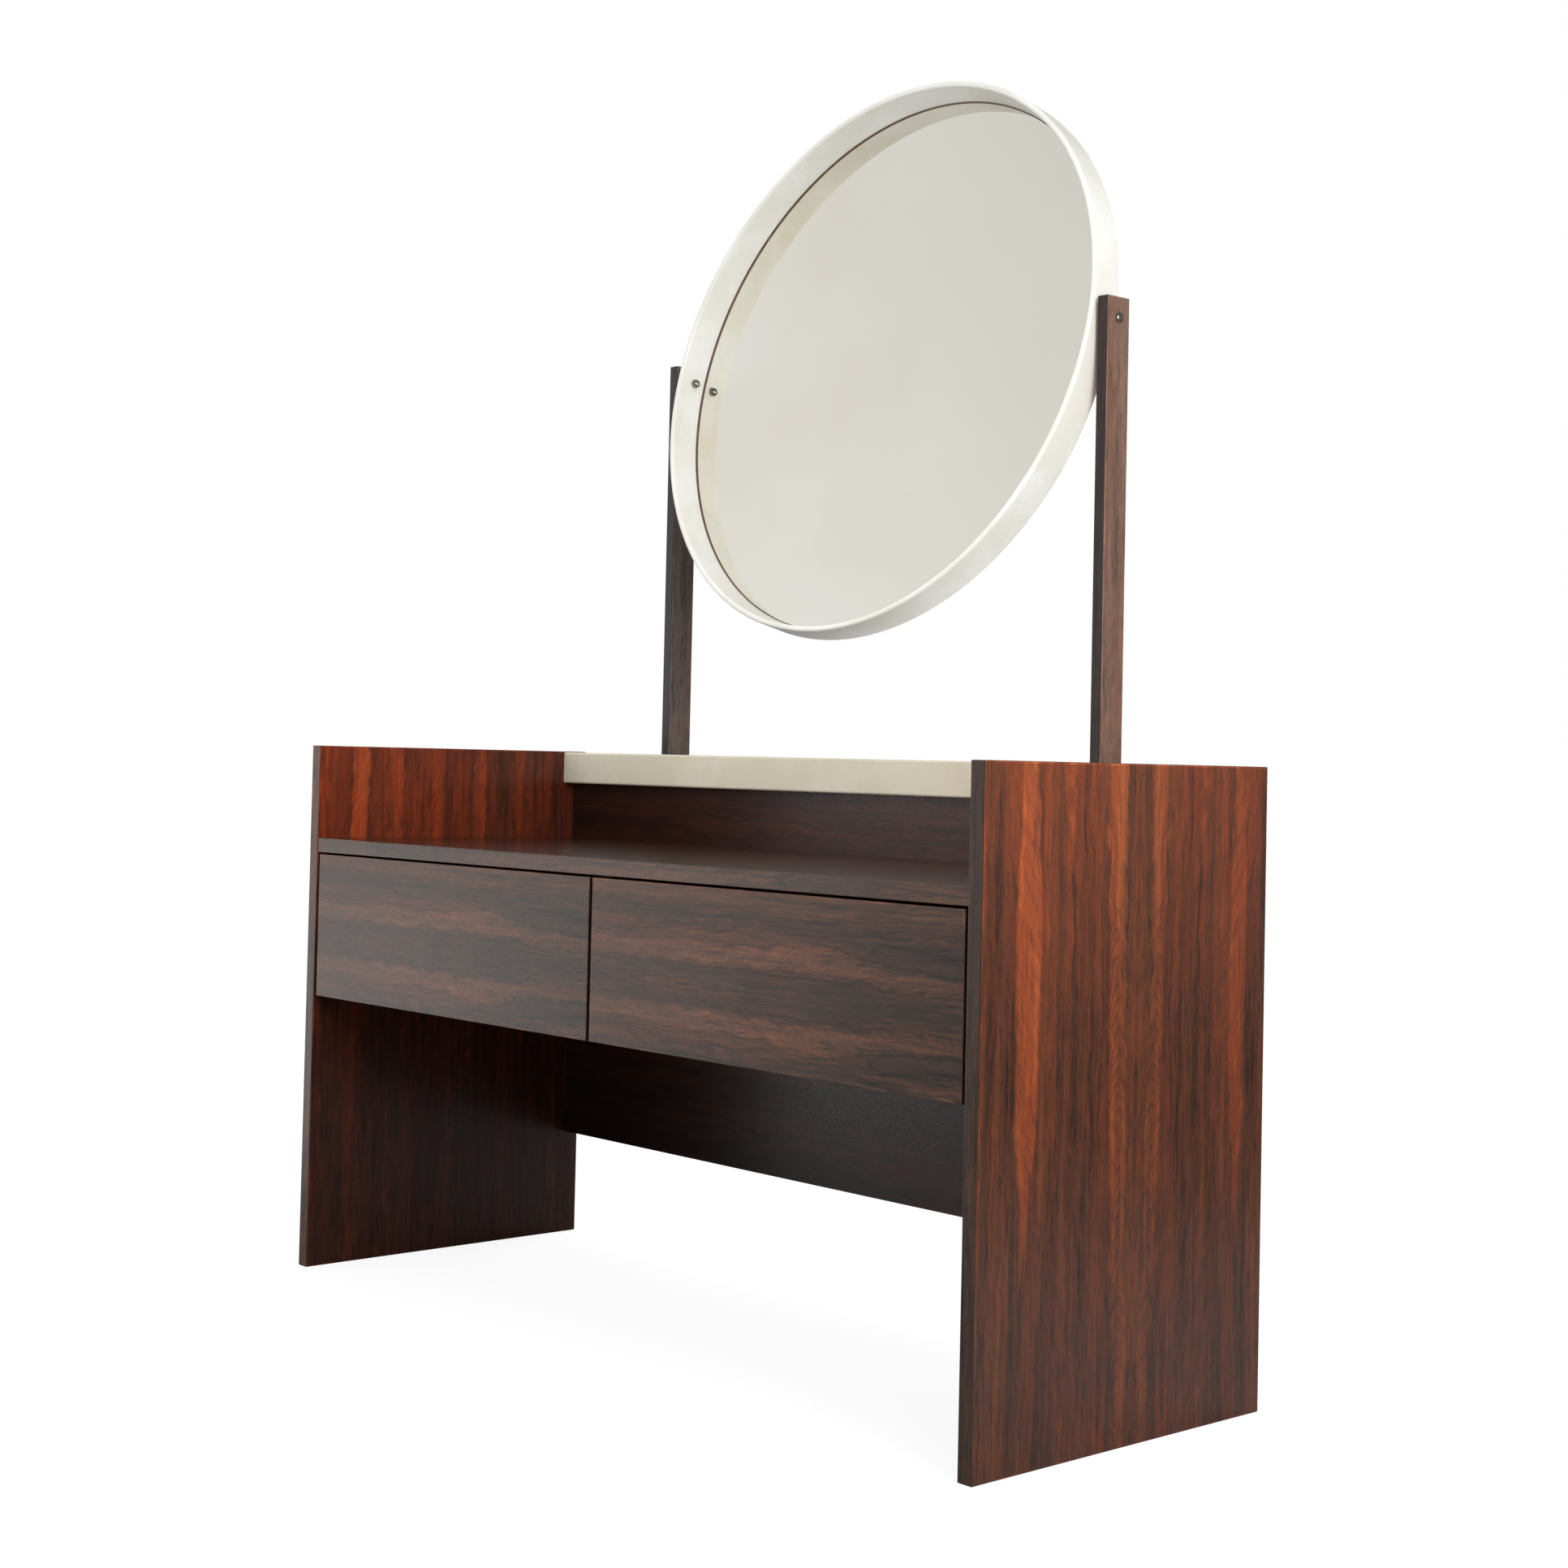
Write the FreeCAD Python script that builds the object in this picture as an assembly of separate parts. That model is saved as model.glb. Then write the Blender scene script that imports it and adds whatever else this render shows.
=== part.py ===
# Dressing table with two hung drawers and a round tilting mirror between two posts.
# Millimetres. X runs to the right, Y to the back, Z up. The origin is on the floor,
# mid-width, in the middle of the overall depth. The front of the table faces -Y.
import FreeCAD
import Part
import math
import os

Vector = FreeCAD.Vector

# Side panels
carcase_width = 1200.0
panel_height = 688.0
panel_depth = 450.0
panel_thickness = 19.0
panel_edge_radius = 1.5

# Dressing top, measured to its upper face
top_height = 566.0
top_thickness = 19.0
top_setback = 1.0
top_edge_radius = 1.0

# Back panel and the cleats that hold it to the side panels
back_panel_thickness = 10.0
back_panel_inset = 12.0
back_panel_bottom = 143.0
cleat_width = 14.0
cleat_setback = 2.0
cleat_end_gap = 12.0

# Lacquered rail across the top of the back panel
rail_height = 44.0
rail_thickness = 18.0
rail_drop = 1.2
rail_edge_radius = 3.0

# Mirror posts
post_width = 15.5
post_depth = 39.0
post_rise = 538.2
post_edge_radius = 1.5
post_tail_below_top = 20.0

# Mirror, built upright about its pivot axis and then tipped back
mirror_tilt = 13.0
pivot_below_post_top = 24.5
hoop_radius = 366.0
hoop_rim_wall = 7.0
hoop_seat_wall = 11.0
hoop_depth = 43.0
hoop_front_reach = 24.0
hoop_drop = 6.0
hoop_edge_radius = 3.0
glass_thickness = 4.0
glass_edge_gap = 0.5
glass_edge_radius = 0.6
backing_thickness = 3.0
backing_lap = 6.0
backing_pin_count = 12
backing_pin_radius = 0.8
backing_pin_length = 12.0

# Pivot hardware
bolt_radius = 3.0
bolt_head_radius = 6.0
bolt_head_height = 4.5
spacer_radius = 9.0
spacer_thickness = 5.2
nut_radius = 6.0
nut_collar = 1.5
nut_dome_height = 5.0
nut_thread_depth = 4.0

# Drawers
drawer_travel = 300.0
drawer_front_height = 187.0
drawer_front_thickness = 19.0
drawer_front_setback = 1.0
drawer_front_edge_radius = 1.0
drawer_top_gap = 2.5
drawer_outer_gap = 4.0
drawer_centre_gap = 5.0
drawer_rear_gap = 26.0
drawer_side_thickness = 14.0
drawer_side_height = 160.0
drawer_box_rise = 14.5
drawer_back_thickness = 12.0
drawer_bottom_thickness = 5.0
drawer_bottom_rise = 8.0
housing_depth = 5.0

# Runners, divider and drawer stops
runner_height = 12.0
runner_drop = 86.0
runner_side_gap = 5.0
runner_groove_depth = 8.0
runner_rear_gap = 6.0
divider_thickness = 18.0
divider_height = 150.0
divider_front_gap = 1.0
stop_width = 60.0
stop_depth = 16.0
stop_height = 20.0
stop_gap = 0.5

# Dowels
dowel_radius = 4.0
dowel_in_panel = 12.0
dowel_in_rail = 20.0
dowel_inset = 45.0
top_dowel_count = 4
divider_dowel_count = 3
rail_dowel_spacing = 22.0
drawer_dowel_inset = 32.0

# Wood screws
screw_radius = 2.0
screw_head_radius = 4.0
screw_head_height = 2.4
screw_bite = 12.0
screw_bite_thin = 7.0
runner_screw_count = 3
runner_screw_inset = 40.0
cleat_screw_count = 3
cleat_screw_inset = 60.0
back_screw_near = 130.0
back_screw_inset = 61.0
divider_screw_upper = 40.0
divider_screw_lower = 110.0
post_screw_radius = 2.5
post_screw_head_radius = 5.0

# Clearances
fit_clearance = 0.1
end_clearance = 0.5
slide_clearance = 0.3
pivot_clearance = 0.05
face_clearance = 0.2

# How near counts as the same place
same_place = 0.01

# Levels
top_underside = top_height - top_thickness
top_middle = top_height - top_thickness / 2
rail_top = panel_height - rail_drop
rail_bottom = rail_top - rail_height
rail_middle = rail_top - rail_height / 2
post_top = rail_top + post_rise
pivot_height = post_top - pivot_below_post_top

# Places across the width, for the left half
panel_outer_x = -carcase_width / 2
panel_inner_x = panel_outer_x + panel_thickness
divider_x = -divider_thickness / 2
post_inner_x = -(hoop_radius + face_clearance + spacer_thickness)
post_outer_x = post_inner_x - post_width
post_middle_x = post_inner_x - post_width / 2

# Mirror: the hoop's wall thickens from its rim to the seat of the glass
rim_inner_radius = hoop_radius - hoop_rim_wall
seat_radius = hoop_radius - hoop_seat_wall
glass_from_rim = hoop_depth - glass_thickness
backing_radius = seat_radius + backing_lap
hoop_back_reach = hoop_depth - hoop_front_reach
backing_back_reach = hoop_back_reach + backing_thickness

# Places along the depth, first counted from the front of the side panels
back_panel_front = panel_depth - back_panel_inset - back_panel_thickness
pivot_from_front = back_panel_front + post_depth / 2
tilt = math.radians(mirror_tilt)
rim_behind_pivot = (hoop_back_reach - hoop_edge_radius) * math.cos(tilt)
rim_leaning_back = (hoop_radius - hoop_edge_radius - hoop_drop) * math.sin(tilt)
hoop_back = rim_behind_pivot + rim_leaning_back + hoop_edge_radius
backing_back = backing_back_reach * math.cos(tilt) + (backing_radius - hoop_drop) * math.sin(tilt)
mirror_back = pivot_from_front + max(hoop_back, backing_back)
overall_depth = max(panel_depth, back_panel_front + post_depth, mirror_back)

# The same places in the part's own frame
panel_front_y = -overall_depth / 2
panel_back_y = panel_front_y + panel_depth
top_front_y = panel_front_y + top_setback
back_front_y = panel_front_y + back_panel_front
back_rear_y = back_front_y + back_panel_thickness
rail_front_y = back_front_y - rail_thickness
post_back_y = back_front_y + post_depth
pivot_y = panel_front_y + pivot_from_front
drawer_front_y = panel_front_y + drawer_front_setback
drawer_box_front_y = drawer_front_y + drawer_front_thickness
drawer_box_rear_y = back_front_y - drawer_rear_gap
drawer_back_front_y = drawer_box_rear_y - drawer_back_thickness
divider_front_y = drawer_box_front_y + divider_front_gap
runner_front_y = drawer_box_front_y + slide_clearance
runner_rear_y = back_front_y - runner_rear_gap

# Drawer box, left one
front_outer_x = panel_inner_x + drawer_outer_gap
front_inner_x = -drawer_centre_gap / 2
box_outer_x = panel_inner_x + runner_side_gap
box_inner_x = divider_x - runner_side_gap
bay_outer_x = box_outer_x + drawer_side_thickness
bay_inner_x = box_inner_x - drawer_side_thickness
drawer_front_top = top_underside - drawer_top_gap
drawer_front_bottom = drawer_front_top - drawer_front_height
box_bottom = drawer_front_bottom + drawer_box_rise
box_top = box_bottom + drawer_side_height
drawer_floor = box_bottom + drawer_bottom_rise
drawer_floor_top = drawer_floor + drawer_bottom_thickness
runner_top = top_underside - runner_drop
runner_bottom = runner_top - runner_height
runner_width = runner_side_gap + runner_groove_depth - slide_clearance

right = Vector(1, 0, 0)
left = Vector(-1, 0, 0)
backward = Vector(0, 1, 0)
forward = Vector(0, -1, 0)
up = Vector(0, 0, 1)

nodes = {}


# Helpers

def block(x0, x1, y0, y1, z0, z1):
    return Part.makeBox(x1 - x0, y1 - y0, z1 - z0, Vector(x0, y0, z0))


def rod(radius, length, start, direction):
    return Part.makeCylinder(radius, length, start, direction)


def spread(first, last, count):
    step = (last - first) / (count - 1)
    return [first + step * index for index in range(count)]


def round_edges(shape, radius, chosen):
    edges = [edge for edge in shape.Edges if chosen(edge)]
    return shape.makeFillet(radius, edges)


def runs_across(edge):
    return max(edge.BoundBox.YLength, edge.BoundBox.ZLength) < same_place


def runs_upward(edge):
    return max(edge.BoundBox.XLength, edge.BoundBox.YLength) < same_place


def is_front_edge(edge, front_y):
    return runs_across(edge) and abs(edge.BoundBox.YMin - front_y) < same_place


def other_hand(shape):
    return shape.mirror(Vector(0, 0, 0), right)


def both_hands(shapes):
    return shapes + [other_hand(shape) for shape in shapes]


def add_pair(name, shape):
    nodes["left_" + name] = shape
    nodes["right_" + name] = other_hand(shape)


# A dowel stands on the joint plane: depth_back behind it and depth_ahead in front of it.
def dowel(joint, direction, depth_back, depth_ahead, radius=dowel_radius):
    start = joint - direction * depth_back
    return rod(radius, depth_back + depth_ahead, start, direction)


def dowel_hole(joint, direction, depth_back, depth_ahead):
    back = depth_back + end_clearance
    ahead = depth_ahead + end_clearance
    return dowel(joint, direction, back, ahead, dowel_radius + fit_clearance)


# A countersunk screw starts flush at its head and runs the given length.
def screw(start, direction, length, radius=screw_radius, head_radius=screw_head_radius):
    shank = rod(radius, length, start, direction)
    head = Part.makeCone(head_radius, radius, screw_head_height, start, direction)
    return shank.fuse(head).removeSplitter()


def screw_hole(start, direction, length, radius=screw_radius, head_radius=screw_head_radius):
    drill = length + end_clearance
    return screw(start, direction, drill, radius + fit_clearance, head_radius + fit_clearance)


# A low dome on a flat round base.
def dome(base, direction, base_radius, height):
    ball = (base_radius ** 2 + height ** 2) / (2 * height)
    below = ball - height
    start_angle = math.degrees(math.asin(below / ball))
    return Part.makeSphere(ball, base - direction * below, direction, start_angle, 90, 360)


# Where the fasteners go, for the left half unless a name says otherwise

def top_dowel_joints():
    places = spread(top_front_y + dowel_inset, back_front_y - dowel_inset, top_dowel_count)
    return [Vector(panel_inner_x, y, top_middle) for y in places]


def rail_dowel_joints():
    middle_y = rail_front_y + rail_thickness / 2
    offset = rail_dowel_spacing / 2
    return [Vector(panel_inner_x, middle_y, z) for z in (rail_middle - offset, rail_middle + offset)]


def divider_dowel_joints():
    places = spread(divider_front_y + dowel_inset, back_front_y - dowel_inset, divider_dowel_count)
    return [Vector(0, y, top_underside) for y in places]


def drawer_dowel_joints():
    half = drawer_side_thickness / 2
    levels = (box_bottom + drawer_dowel_inset, box_top - drawer_dowel_inset)
    sides = (box_outer_x + half, box_inner_x - half)
    return [Vector(x, drawer_box_front_y, z) for x in sides for z in levels]


def back_screw_starts():
    places = (panel_inner_x + back_screw_inset, -back_screw_near)
    return [Vector(x, back_rear_y, z) for x in places for z in (rail_middle, top_middle)]


def divider_screw_starts():
    levels = (top_underside - divider_screw_upper, top_underside - divider_screw_lower)
    return [Vector(0, back_rear_y, z) for z in levels]


def post_screw_starts():
    return [Vector(post_middle_x, post_back_y, z) for z in (rail_middle, top_middle)]


def cleat_screw_starts():
    low = back_panel_bottom + cleat_end_gap + cleat_screw_inset
    high = rail_top - cleat_end_gap - cleat_screw_inset
    x = panel_inner_x + cleat_width / 2
    y = panel_back_y - cleat_setback
    return [Vector(x, y, z) for z in spread(low, high, cleat_screw_count)]


def runner_screw_places():
    first = runner_front_y + runner_screw_inset
    last = runner_rear_y - runner_screw_inset
    return spread(first, last, runner_screw_count)


def runner_screw_level():
    return (runner_top + runner_bottom) / 2


def outer_runner_screws(make):
    x = panel_inner_x + runner_width
    reach = runner_width + screw_bite_thin
    return [make(Vector(x, y, runner_screw_level()), left, reach) for y in runner_screw_places()]


def inner_runner_screws(make):
    x = divider_x - runner_width
    reach = runner_width + screw_bite_thin
    return [make(Vector(x, y, runner_screw_level()), right, reach) for y in runner_screw_places()]


def stop_screws(make):
    x = (box_outer_x + box_inner_x) / 2
    start = Vector(x, stop_rear_y() - stop_depth / 2, top_underside - stop_height)
    return [make(start, up, stop_height + screw_bite)]


def back_screws(make):
    reach = back_panel_thickness + screw_bite
    return [make(start, forward, reach) for start in back_screw_starts()]


def divider_screws(make):
    reach = back_panel_thickness + screw_bite
    return [make(start, forward, reach) for start in divider_screw_starts()]


def cleat_screws(make):
    reach = back_panel_inset - cleat_setback + screw_bite_thin
    return [make(start, forward, reach) for start in cleat_screw_starts()]


def post_screws(make):
    reach = post_depth + screw_bite
    sizes = (post_screw_radius, post_screw_head_radius)
    return [make(start, forward, reach, *sizes) for start in post_screw_starts()]


def top_dowels(make):
    return [make(joint, right, dowel_in_panel, dowel_in_rail) for joint in top_dowel_joints()]


def rail_dowels(make):
    return [make(joint, right, dowel_in_panel, dowel_in_rail) for joint in rail_dowel_joints()]


def divider_dowels(make):
    return [make(joint, up, dowel_in_rail, dowel_in_panel) for joint in divider_dowel_joints()]


def drawer_dowels(make):
    return [make(joint, backward, dowel_in_panel, dowel_in_rail) for joint in drawer_dowel_joints()]


# Carcase

def side_panel():
    panel = block(panel_outer_x, panel_inner_x, panel_front_y, panel_back_y, 0, panel_height)
    panel = panel.makeFillet(panel_edge_radius, panel.Edges)
    holes = top_dowels(dowel_hole) + rail_dowels(dowel_hole) + outer_runner_screws(screw_hole)
    return panel.cut(holes)


def dressing_top():
    top = block(panel_inner_x, -panel_inner_x, top_front_y, back_front_y, top_underside, top_height)
    top = round_edges(top, top_edge_radius, lambda edge: is_front_edge(edge, top_front_y))
    holes = both_hands(top_dowels(dowel_hole) + back_screws(screw_hole) + post_screws(screw_hole))
    holes += both_hands(stop_screws(screw_hole)) + divider_dowels(dowel_hole)
    return top.cut(holes)


def back_panel():
    panel = block(panel_inner_x, -panel_inner_x, back_front_y, back_rear_y, back_panel_bottom, rail_top)
    holes = both_hands(back_screws(screw_hole) + post_screws(screw_hole) + cleat_screws(screw_hole))
    return panel.cut(holes + divider_screws(screw_hole))


def mirror_rail():
    rail = block(panel_inner_x, -panel_inner_x, rail_front_y, back_front_y, rail_bottom, rail_top)
    rail = round_edges(rail, rail_edge_radius, lambda edge: is_front_edge(edge, rail_front_y))
    holes = both_hands(rail_dowels(dowel_hole) + back_screws(screw_hole) + post_screws(screw_hole))
    return rail.cut(holes)


def cleat():
    low = back_panel_bottom + cleat_end_gap
    high = rail_top - cleat_end_gap
    rear = panel_back_y - cleat_setback
    batten = block(panel_inner_x, panel_inner_x + cleat_width, back_rear_y, rear, low, high)
    return batten.cut(cleat_screws(screw_hole))


def centre_divider():
    low = top_underside - divider_height
    board = block(divider_x, -divider_x, divider_front_y, back_front_y, low, top_underside)
    holes = divider_dowels(dowel_hole) + divider_screws(screw_hole)
    return board.cut(holes + both_hands(inner_runner_screws(screw_hole)))


def outer_runner():
    inner = panel_inner_x + runner_width
    strip = block(panel_inner_x, inner, runner_front_y, runner_rear_y, runner_bottom, runner_top)
    return strip.cut(outer_runner_screws(screw_hole))


def inner_runner():
    outer = divider_x - runner_width
    strip = block(outer, divider_x, runner_front_y, runner_rear_y, runner_bottom, runner_top)
    return strip.cut(inner_runner_screws(screw_hole))


# The stop hangs into the open drawer box, where the drawer's back meets it at full travel.
def stop_rear_y():
    return drawer_back_front_y - drawer_travel - stop_gap


def drawer_stop():
    middle = (box_outer_x + box_inner_x) / 2
    half = stop_width / 2
    rear = stop_rear_y()
    low = top_underside - stop_height
    piece = block(middle - half, middle + half, rear - stop_depth, rear, low, top_underside)
    return piece.cut(stop_screws(screw_hole))


# Drawers

def drawer_front():
    rear = drawer_box_front_y
    face = block(front_outer_x, front_inner_x, drawer_front_y, rear, drawer_front_bottom, drawer_front_top)
    on_face = drawer_front_y + same_place
    face = round_edges(face, drawer_front_edge_radius, lambda edge: edge.BoundBox.YMax < on_face)
    groove = block(bay_outer_x - housing_depth, bay_inner_x + housing_depth, rear - housing_depth, rear,
                   drawer_floor - fit_clearance, drawer_floor_top + fit_clearance)
    return face.cut([groove] + drawer_dowels(dowel_hole))


def drawer_bottom_panel():
    return block(bay_outer_x - housing_depth + fit_clearance, bay_inner_x + housing_depth - fit_clearance,
                 drawer_box_front_y - housing_depth + fit_clearance, drawer_box_rear_y,
                 drawer_floor, drawer_floor_top)


def drawer_back_board():
    return block(bay_outer_x - housing_depth + fit_clearance, bay_inner_x + housing_depth - fit_clearance,
                 drawer_back_front_y, drawer_box_rear_y, drawer_floor_top, box_top)


# Cuts every side needs: the slot for the bottom panel and the housing for the back.
def side_housings(inner_face, away):
    near = min(inner_face, inner_face + away * housing_depth)
    far = max(inner_face, inner_face + away * housing_depth)
    slot = block(near, far, drawer_box_front_y, drawer_box_rear_y,
                 drawer_floor - fit_clearance, drawer_floor_top + fit_clearance)
    housing = block(near, far, drawer_back_front_y - fit_clearance, drawer_box_rear_y,
                    drawer_floor_top, box_top)
    return [slot, housing]


def runner_groove(outer_face, away):
    near = min(outer_face, outer_face + away * runner_groove_depth)
    far = max(outer_face, outer_face + away * runner_groove_depth)
    return block(near, far, drawer_box_front_y, drawer_box_rear_y,
                 runner_bottom - slide_clearance, runner_top + slide_clearance)


def drawer_outer_side():
    board = block(box_outer_x, bay_outer_x, drawer_box_front_y, drawer_box_rear_y, box_bottom, box_top)
    cuts = side_housings(bay_outer_x, -1) + [runner_groove(box_outer_x, 1)]
    return board.cut(cuts + drawer_dowels(dowel_hole))


def drawer_inner_side():
    board = block(bay_inner_x, box_inner_x, drawer_box_front_y, drawer_box_rear_y, box_bottom, box_top)
    cuts = side_housings(bay_inner_x, 1) + [runner_groove(box_inner_x, -1)]
    return board.cut(cuts + drawer_dowels(dowel_hole))


# Posts: full depth above the back panel, notched over it and screwed on from behind below.

def post():
    low = top_underside - post_tail_below_top
    bar = block(post_outer_x, post_inner_x, back_front_y, post_back_y, low, post_top)
    top_edge = post_top - same_place
    bar = round_edges(bar, post_edge_radius,
                      lambda edge: runs_upward(edge) or edge.BoundBox.ZMin > top_edge)
    notch = block(post_outer_x, post_inner_x, back_front_y, back_rear_y, low, rail_top)
    bolt_hole = rod(bolt_radius + pivot_clearance, post_width, pivot_point(post_outer_x), right)
    return bar.cut([notch, bolt_hole] + post_screws(screw_hole))


def pivot_point(x):
    return Vector(x, pivot_y, pivot_height)


# The nut's flat face stays clear of the hoop's hollow wall all round.
def nut_face_x():
    growth = (hoop_seat_wall - hoop_rim_wall) / glass_from_rim
    wall = rim_inner_radius - growth * (hoop_front_reach + nut_radius)
    return -(math.sqrt(wall ** 2 - (hoop_drop + nut_radius) ** 2) - face_clearance)


def pivot_bolt():
    head = dome(pivot_point(post_outer_x), left, bolt_head_radius, bolt_head_height)
    length = nut_face_x() + nut_thread_depth - post_outer_x
    shank = rod(bolt_radius, length, pivot_point(post_outer_x), right)
    return head.fuse(shank).removeSplitter()


def pivot_spacer():
    outer = rod(spacer_radius, spacer_thickness, pivot_point(post_inner_x), right)
    bore = rod(bolt_radius + pivot_clearance, spacer_thickness, pivot_point(post_inner_x), right)
    return outer.cut(bore)


def cap_nut():
    face = nut_face_x()
    collar = rod(nut_radius, nut_collar, pivot_point(face), right)
    crown = dome(pivot_point(face + nut_collar), right, nut_radius, nut_dome_height)
    thread = rod(bolt_radius + pivot_clearance, nut_thread_depth + end_clearance, pivot_point(face), right)
    return collar.fuse(crown).removeSplitter().cut(thread)


# Mirror, upright with the pivot axis through the local origin

def tipped(shape):
    shape.rotate(Vector(0, 0, 0), right, -mirror_tilt)
    shape.translate(pivot_point(0))
    return shape


def disc(radius, from_front, thickness):
    start = Vector(0, from_front - hoop_front_reach, -hoop_drop)
    return rod(radius, thickness, start, backward)


def backing_pin_starts():
    ring = seat_radius + backing_lap / 2
    step = 2 * math.pi / backing_pin_count
    turns = [step / 2 + step * index for index in range(backing_pin_count)]
    return [Vector(ring * math.cos(a), backing_back_reach, ring * math.sin(a) - hoop_drop) for a in turns]


def pin_holes():
    radius = backing_pin_radius + pivot_clearance
    length = backing_pin_length + end_clearance
    return [rod(radius, length, start, forward) for start in backing_pin_starts()]


def mirror_hoop():
    hoop = disc(hoop_radius, 0, hoop_depth)
    rim_middle = Vector(0, -hoop_front_reach, -hoop_drop)
    mouth = Part.makeCone(rim_inner_radius, seat_radius, glass_from_rim, rim_middle, backward)
    hoop = hoop.cut(mouth).cut(disc(seat_radius, glass_from_rim, glass_thickness))
    front = same_place - hoop_front_reach
    outermost = 2 * hoop_radius - same_place
    hoop = round_edges(hoop, hoop_edge_radius,
                       lambda edge: edge.BoundBox.YLength < same_place
                       and (edge.BoundBox.YMax < front or edge.BoundBox.ZLength > outermost))
    bore = rod(bolt_radius + pivot_clearance, 2 * hoop_radius, Vector(-hoop_radius, 0, 0), right)
    return tipped(hoop.cut([bore] + pin_holes()))


def mirror_backing():
    board = disc(backing_radius, hoop_depth, backing_thickness)
    return tipped(board.cut(pin_holes()))


def mirror_glass():
    glass = disc(seat_radius - glass_edge_gap, glass_from_rim, glass_thickness)
    front_edge = glass_from_rim - hoop_front_reach + same_place
    glass = round_edges(glass, glass_edge_radius,
                        lambda edge: edge.BoundBox.YMax < front_edge)
    return tipped(glass)


def backing_pins():
    pins = [rod(backing_pin_radius, backing_pin_length, start, forward) for start in backing_pin_starts()]
    return tipped(Part.makeCompound(pins))


# Assembly

add_pair("side_panel", side_panel())
nodes["dressing_top"] = dressing_top()
nodes["back_panel"] = back_panel()
nodes["mirror_rail"] = mirror_rail()
nodes["centre_divider"] = centre_divider()
add_pair("cleat", cleat())
add_pair("outer_runner", outer_runner())
add_pair("inner_runner", inner_runner())
add_pair("drawer_stop", drawer_stop())

add_pair("drawer_front", drawer_front())
add_pair("drawer_outer_side", drawer_outer_side())
add_pair("drawer_inner_side", drawer_inner_side())
add_pair("drawer_back", drawer_back_board())
add_pair("drawer_bottom", drawer_bottom_panel())
add_pair("drawer_dowels", Part.makeCompound(drawer_dowels(dowel)))

add_pair("post", post())
add_pair("pivot_bolt", pivot_bolt())
add_pair("pivot_spacer", pivot_spacer())
add_pair("cap_nut", cap_nut())
nodes["mirror_hoop"] = mirror_hoop()
nodes["mirror_glass"] = mirror_glass()
nodes["mirror_backing"] = mirror_backing()
nodes["backing_pins"] = backing_pins()

nodes["top_dowels"] = Part.makeCompound(both_hands(top_dowels(dowel)))
nodes["rail_dowels"] = Part.makeCompound(both_hands(rail_dowels(dowel)))
nodes["divider_dowels"] = Part.makeCompound(divider_dowels(dowel))
nodes["back_panel_screws"] = Part.makeCompound(both_hands(back_screws(screw)) + divider_screws(screw))
nodes["cleat_screws"] = Part.makeCompound(both_hands(cleat_screws(screw)))
nodes["post_screws"] = Part.makeCompound(both_hands(post_screws(screw)))
nodes["runner_screws"] = Part.makeCompound(
    both_hands(outer_runner_screws(screw) + inner_runner_screws(screw)))
nodes["stop_screws"] = Part.makeCompound(both_hands(stop_screws(screw)))

os.makedirs("parts", exist_ok=True)
for name, shape in nodes.items():
    shape.exportStep("parts/" + name + ".step")
    print(name, len(shape.Solids), "solids", round(shape.Volume), "mm3", "valid", shape.isValid())
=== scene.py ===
import math

import bpy
import numpy as np
from mathutils import Matrix, Vector


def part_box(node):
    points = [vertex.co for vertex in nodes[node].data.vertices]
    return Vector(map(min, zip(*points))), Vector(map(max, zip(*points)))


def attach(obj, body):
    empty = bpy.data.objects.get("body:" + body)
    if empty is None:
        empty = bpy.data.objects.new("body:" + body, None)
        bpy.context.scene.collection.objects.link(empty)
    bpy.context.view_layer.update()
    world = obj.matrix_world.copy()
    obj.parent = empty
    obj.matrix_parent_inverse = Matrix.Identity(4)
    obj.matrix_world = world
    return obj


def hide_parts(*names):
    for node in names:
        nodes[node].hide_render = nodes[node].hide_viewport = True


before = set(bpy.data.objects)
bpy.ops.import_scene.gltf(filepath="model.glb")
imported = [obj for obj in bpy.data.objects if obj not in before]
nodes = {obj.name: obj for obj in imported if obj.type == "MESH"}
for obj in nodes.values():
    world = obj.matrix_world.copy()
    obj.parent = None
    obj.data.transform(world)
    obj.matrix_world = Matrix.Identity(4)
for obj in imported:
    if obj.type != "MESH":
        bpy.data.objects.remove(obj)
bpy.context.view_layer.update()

scene = bpy.context.scene
scene.view_settings.view_transform = "Standard"
sides = ("left", "right")
print("frame loaded:", len(nodes), "nodes")


# camera, fitted to the photograph's edges

cameraView = {
    "place": (2.14777, -1.98635, 0.68416),
    "yaw": 49.3706,         # degrees, turned left from straight at the back
    "pitch": 1.7736,        # degrees, tipped up
    "roll": 1.3372,         # degrees, leaning
    "sensor": 36.0,
    "lens": 55.068,
    "shift": (0.06516, -0.06470),
    "farEnd": 100.0,
}


def placeCamera(view):
    # looks along yaw and pitch; right and up are then turned about that line by the roll
    yaw, pitch, roll = (math.radians(view[k]) for k in ("yaw", "pitch", "roll"))
    ahead = Vector((-math.sin(yaw) * math.cos(pitch), math.cos(yaw) * math.cos(pitch), math.sin(pitch)))
    level = Vector((math.cos(yaw), math.sin(yaw), 0.0))
    upright = level.cross(ahead)
    right = math.cos(roll) * level + math.sin(roll) * upright
    up = math.cos(roll) * upright - math.sin(roll) * level
    camera = bpy.data.cameras.new("photo_camera")
    camera.sensor_width = view["sensor"]
    camera.lens = view["lens"]
    camera.shift_x, camera.shift_y = view["shift"]
    camera.clip_end = view["farEnd"]
    holder = bpy.data.objects.new("photo_camera", camera)
    turn = Matrix((right, up, -ahead)).transposed().to_4x4()
    holder.matrix_world = Matrix.Translation(view["place"]) @ turn
    scene.collection.objects.link(holder)
    scene.camera = holder


placeCamera(cameraView)
print("camera placed")


# node helpers for the finishes

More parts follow.
